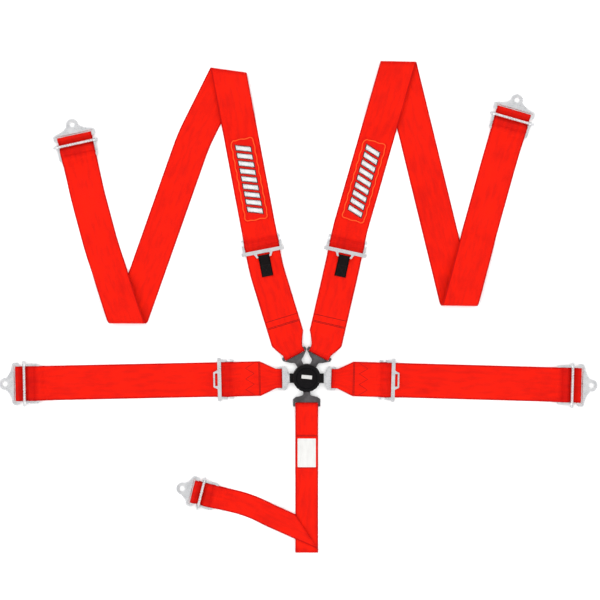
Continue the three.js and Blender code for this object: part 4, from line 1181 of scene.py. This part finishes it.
def pull_tab(belt, hinge):
    """Black webbing folded round the lug's rail, with its two layers sewn together."""
    name = belt["name"] + "_pull_tab"
    cloth = TAB["cloth"] - 0.1
    loop = math.hypot(LUG_RAIL, BAR_HEIGHT) / 2 + RUN + 0.65
    low = SECOND_LAYER + HALF_WEB + RUN - LUG_Z + 0.6
    high = low + TAB["cloth"]
    end = -TAB["length"]
    path = [(mix(end, -9.5, k / 12), low) for k in range(13)]
    path += [(-7.0, low + 0.05), (-4.6, low + 0.35), (-2.6, -loop * 0.86)]
    path += arc(0, 0, loop, -100, 100, 22)
    path += [(-3.2, loop * 0.72), (-6.4, 0.4 * loop), (-10.0, high + 1.0), (-14.0, high + 0.15)]
    path += [(mix(-16.0, end, k / 10), high) for k in range(11)]
    mesh, length = path_ribbon(name + "_loop", path, TAB["half"], cloth, hinge)
    piece = add_piece(name + "_loop", mesh, "tab_webbing", name, [name], smooth=50)
    top = high + cloth / 2 + 0.02
    far, near, side = -41, -19, 9
    box = [((far, -side), (far, side)), ((near, -side), (near, side))]
    box += [((far, -side), (near, -side)), ((far, side), (near, side))]
    cross = [((far, -side), (near, side)), ((far, side), (near, -side))]
    stitches = []
    for start, stop in box + cross:
        for middle, along, spacing in stitch_places(start, stop, top, 2.4):
            stitches.append((middle, along, UP, spacing * 0.75, 0.6, 0.35))
    sewing = stitches_mesh(name + "_sewing", stitches, hinge)
    add_piece(name + "_sewing", sewing, "tab_webbing", name, look="black_thread")


NO_SELVEDGE = 10.0  # far enough in that the weave shows no selvedge


def cloth_patch(name, length, width, thickness, low, radius, place):
    """A flat piece of cloth with rounded corners, as a fine grid so that it takes a weave."""
    columns = 60
    lines = 18
    vertices = []
    weave = []
    for side in (1, -1):
        for i in range(columns + 1):
            x = -length / 2 + length * i / columns
            from_end = length / 2 - abs(x)
            reach = width / 2
            if from_end < radius:
                reach -= radius - math.sqrt(max(0.0, radius ** 2 - (radius - from_end) ** 2))
            for j in range(lines + 1):
                y = reach * (2 * j / lines - 1)
                edge = min(from_end, reach - abs(y))
                z = low + thickness / 2 + side * thickness / 2 * min(1.0, 0.35 + edge / 1.0)
                vertices.append((x, y, z))
                weave.append((x, y, NO_SELVEDGE))
    row = lines + 1
    sheet_size = (columns + 1) * row
    faces = []
    for i in range(columns):
        for j in range(lines):
            a = i * row + j
            faces.append((a, a + row, a + row + 1, a + 1))
            b = sheet_size + a
            faces.append((b, b + 1, b + row + 1, b + row))
    rim = [i * row for i in range(columns + 1)]
    rim += [columns * row + j for j in range(1, row)]
    rim += [i * row + lines for i in range(columns - 1, -1, -1)]
    rim += list(range(lines - 1, 0, -1))
    for k, a in enumerate(rim):
        b = rim[(k + 1) % len(rim)]
        faces.append((b, a, a + sheet_size, b + sheet_size))
    mesh = mesh_of(name, vertices, faces, place)
    set_weave(mesh, weave)
    return mesh


def satin_line(points, width, height, z, pitch=0.55):
    """Short stitches laid side by side across a closed line."""
    stitches = []
    carry = 0.0
    for (x0, y0), (x1, y1) in closed(points):
        span = math.hypot(x1 - x0, y1 - y0)
        if span < 1e-6:
            continue
        across = Vector((-(y1 - y0) / span, (x1 - x0) / span, 0))
        along = carry
        while along < span:
            t = along / span
            jitter = rng.uniform(-0.12, 0.12)
            middle = Vector((mix(x0, x1, t), mix(y0, y1, t), z)) + across * jitter
            stitches.append((middle, across, UP, width * rng.uniform(0.94, 1.04), 0.62, height))
            along += pitch
        carry = along - span
    return stitches


def wavy_outline(points):
    """A closed outline that sways in and out as it goes."""
    wavy = []
    run = 0.0
    for (x0, y0), (x1, y1) in closed(points):
        span = math.hypot(x1 - x0, y1 - y0)
        pieces = max(1, round(span / BORDER_STEP))
        for k in range(pieces):
            t = k / pieces
            shift = BORDER["sway"] * math.sin((run + span * t) * 2 * math.pi / BORDER["wave"])
            normal = (-(y1 - y0) / max(span, 1e-6), (x1 - x0) / max(span, 1e-6))
            wavy.append((mix(x0, x1, t) + normal[0] * shift, mix(y0, y1, t) + normal[1] * shift))
        run += span
    return wavy


def bar_stitches(top):
    """The stitches of the slanted bars, and those of the outlines that show round them."""
    bars = []
    outlines = []
    for k in range(BARS["count"]):
        x = (k - (BARS["count"] - 1) / 2) * BARS["pitch"]
        for size, target, height in ((0.0, bars, 0.6), (BAR_OUTLINE, outlines, 0.3)):
            half = BARS["half"] + size
            steps = round(2 * half / BAR_STEP)
            for j in range(steps + 1):
                y = mix(-half, half, j / steps)
                middle = Vector((x + y * BARS["slant"], y, top))
                length = (BARS["length"] + BAR_OUTLINE_ENDS * size) * rng.uniform(0.97, 1.03)
                target.append((middle, Vector((1, 0, 0)), UP, length, BARS["thread"], height))
    return bars, outlines


def patch(belt, place):
    """A cloth patch with a wavy embroidered border and a row of plain slanted bars."""
    name = belt["name"] + "_patch"
    body = belt["body"]
    low = FLOOR_LAYER + HALF_WEB + RUN
    top = low + PATCH["thickness"]
    size = (PATCH["length"], PATCH["width"])
    mesh = cloth_patch(name + "_cloth", *size, PATCH["thickness"], low, PATCH_CORNER, place)
    cloth = add_piece(name + "_cloth", mesh, "patch_cloth", body, [name], smooth=60)
    x, y = (side / 2 - BORDER["inset"] for side in size)
    outline = wavy_outline(rounded(-x, -y, x, y, BORDER["corner"], 10))
    border = satin_line(outline, BORDER["width"], BORDER["height"], top)
    bars, outlines = bar_stitches(top)
    for stitches, ending, look in (
        (border, "_border", "orange_thread"),
        (outlines, "_bar_outlines", "black_thread"),
        (bars, "_bars", "white_thread"),
    ):
        mesh = stitches_mesh(name + ending, stitches, place)
        add_piece(name + ending, mesh, "patch_cloth", body, look=look)


def label(belt, place):
    """A blank woven label, sewn down along its edges."""
    name = belt["name"] + "_label"
    low = SECOND_LAYER + HALF_WEB + RUN
    size = (LABEL["length"], LABEL["width"])
    mesh = cloth_patch(name + "_cloth", *size, LABEL["thickness"], low, 1, place)
    cloth = add_piece(name + "_cloth", mesh, "label_cloth", belt["body"], [name], smooth=60)
    stitches = []
    x, y = (side / 2 - 2 for side in size)
    for start, stop in closed(rounded(-x, -y, x, y, 0.5, 1)):
        for middle, along, _ in stitch_places(start, stop, low + LABEL["thickness"], 2.6):
            stitches.append((middle, along, UP, 1.9, 0.45, 0.3))
    sewing = stitches_mesh(name + "_sewing", stitches, place)
    trim = add_piece(name + "_sewing", sewing, "label_cloth", belt["body"], look="white_thread")


def belt_sewing(belt, layout):
    """The seams near a tongue: its straight lines and, on a lap belt, a fainter zigzag."""
    at = layout.marks["tongue"]
    inner = belt["web"]["half"] - SEAM_INSET
    strong = [[(at + line, -inner), (at + line, inner)] for line in SEAM_LINES[belt["kind"]]]
    faint = []
    if belt["kind"] == "lap":
        first = at + ZIGZAG["from_tongue"]
        legs = ZIGZAG["legs"]
        turns = range(legs + 1)
        faint.append([(first + ZIGZAG["depth"] * (k % 2), mix(-inner, inner, k / legs)) for k in turns])
    return strong, faint


def build_belt(belt):
    name = belt["name"]
    body = belt["body"]
    web = belt["web"]
    layout = Layout(PROFILES[belt["kind"]](belt))
    slot_place = Matrix.Rotation(math.radians(belt["slot"]), 4, "Z")
    tongue = layout.mark_matrix("tongue")
    laid = slot_place @ Matrix.Translation((REACH, 0, 0)) @ tongue.inverted()

    strap = webbing_mesh(name + "_strap", layout, web["half"], laid)
    piece = add_piece(name + "_strap", strap, "webbing", body, [name + "_webbing"], smooth=50)
    strong, faint = belt_sewing(belt, layout)
    for lines, ending, look in ((strong, "_sewing", "dark_thread"), (faint, "_zigzag", "thread")):
        stitches = [stitch for line in lines for stitch in sew(layout, line)]
        if stitches:
            sewing = stitches_mesh(name + ending, stitches, laid)
            add_piece(name + ending, sewing, "webbing", body, look=look)

    steel = "bright_steel" if belt["kind"] == "lap" else "black_steel"
    plate = tongue_mesh(belt, slot_place)
    add_piece(name + "_tongue_plate", plate, steel, body, [name + "_tongue"])

    if "adjuster" in belt:
        node = name + "_adjuster"
        adjuster = laid @ layout.mark_matrix("adjuster")
        if belt["toward_rear"]:
            adjuster = adjuster @ Matrix.Rotation(math.pi, 4, "Z")
        mesh = bevelled_copy(node, 0.95)
        add_piece(node + "_frame", mesh, "bright_steel", node, [node])
        if belt["kind"] == "shoulder":
            pull_tab(belt, adjuster @ Matrix.Translation((LUG_X, 0, LUG_Z)))

    slide = laid @ layout.mark_matrix("slide")
    mesh = bevelled_copy(name + "_slide", 0.95)
    add_piece(name + "_slide_frame", mesh, "bright_steel", body, [name + "_slide"])
    half = web["half"] + EDGE_GAP + SLIDE_RAIL + LOCK_OVERHANG
    rod = lock_bar_mesh(name + "_knurled_bar", half, slide)
    replaced = [name + "_lock_bar"]
    add_piece(name + "_knurled_bar", rod, "bright_steel", body, replaced, smooth=60)
    drop = Matrix.Translation((ANCHOR_BAR, 0, BRACKET_HEIGHT)) @ Matrix.Rotation(BRACKET_DROP, 4, "Y")
    plate = bracket_mesh(belt, slide @ drop)
    bracket = name + "_bracket"
    add_piece(bracket + "_plate", plate, "bright_steel", bracket, [bracket])
    if "patch" in layout.marks:
        patch(belt, laid @ layout.mark_matrix("patch"))
    if "label" in layout.marks:
        label(belt, laid @ layout.mark_matrix("label"))


# ---------------------------------------------------------------- the buckle


def build_buckle():
    still = Matrix.Identity(4)
    radius = KNOB["radius"]
    bottom = KNOB["bottom"]
    top = bottom + KNOB["height"]
    sleeve = KNOB["sleeve"]
    recess = KNOB["recess"]
    floor_level = top - KNOB["depth"]
    bore = POST + RUN
    side_low = [(radius - 1, bottom), (radius - 0.3, bottom + 0.3), (radius, bottom + 1)]
    side_high = [(radius, top - 3.5), (radius - 0.35, top - 2.2), (radius - 1, top - 1.2),
                 (radius - 2, top - 0.4), (radius - 3.2, top)]
    profile = [(bore, CAM_TOP + RUN), (sleeve, CAM_TOP + RUN), (sleeve, bottom), *side_low, *side_high,
               (recess + 1.6, top), (recess + 0.6, top - 0.35), (recess, floor_level), (bore, floor_level)]
    fluted = {5: 1.0, 6: 1.0, 7: 0.9, 8: 0.6, 9: 0.25}

    def flute(i, angle):
        groove = max(0.0, math.cos(20 * angle)) ** 3
        return 0.9 * groove * fluted.get(i, 0.0)

    knob = lathe("buckle_knob_grip", profile, 240, still, flute)
    add_piece("buckle_knob_grip", knob, "black_plastic", "knob", ["buckle_knob"])
    low = floor_level + RUN
    disc_profile = [(0.001, low), (recess - 0.5, low), (recess - 0.5, low + 0.5), (recess - 0.8, low + 0.9),
                    (recess - 1.6, low + 1.08), (0.001, low + 1.2)]
    disc = lathe("buckle_knob_cap", disc_profile, 96, still)
    add_piece("buckle_knob_cap", disc, "gloss_black", "knob", ["buckle_knob_disc"])
    x = INLAY["half_length"]
    y = INLAY["half_width"]
    inlay = rounded(-x, -y, x, y, INLAY["corner"])
    turned = turned_frame(0.0, INLAY["rise"], 0.0, math.radians(INLAY["turn"]))
    mesh = curve_plate("buckle_knob_inlay", inlay, [], low + 0.9, low + 1.5, 0.12, turned)
    add_piece("buckle_knob_inlay", mesh, "gloss_black", "knob", look="inlay")

    for node, slot, width in (
        ("buckle_base_plate", "black_steel", 0.3),
        ("buckle_housing", "black_plastic", 0.5),
    ):
        mesh = bevelled_copy(node, width)
        add_piece(node + "_finished", mesh, slot, "base", [node])


for part in frame["record"]["subparts"]:
    node = frame["nodes"][part["node"]]
    for material_slot in node.material_slots:
        material_slot.material = MATERIALS[part["material_slot"]]

build_buckle()
for one_belt in BELTS:
    build_belt(one_belt)
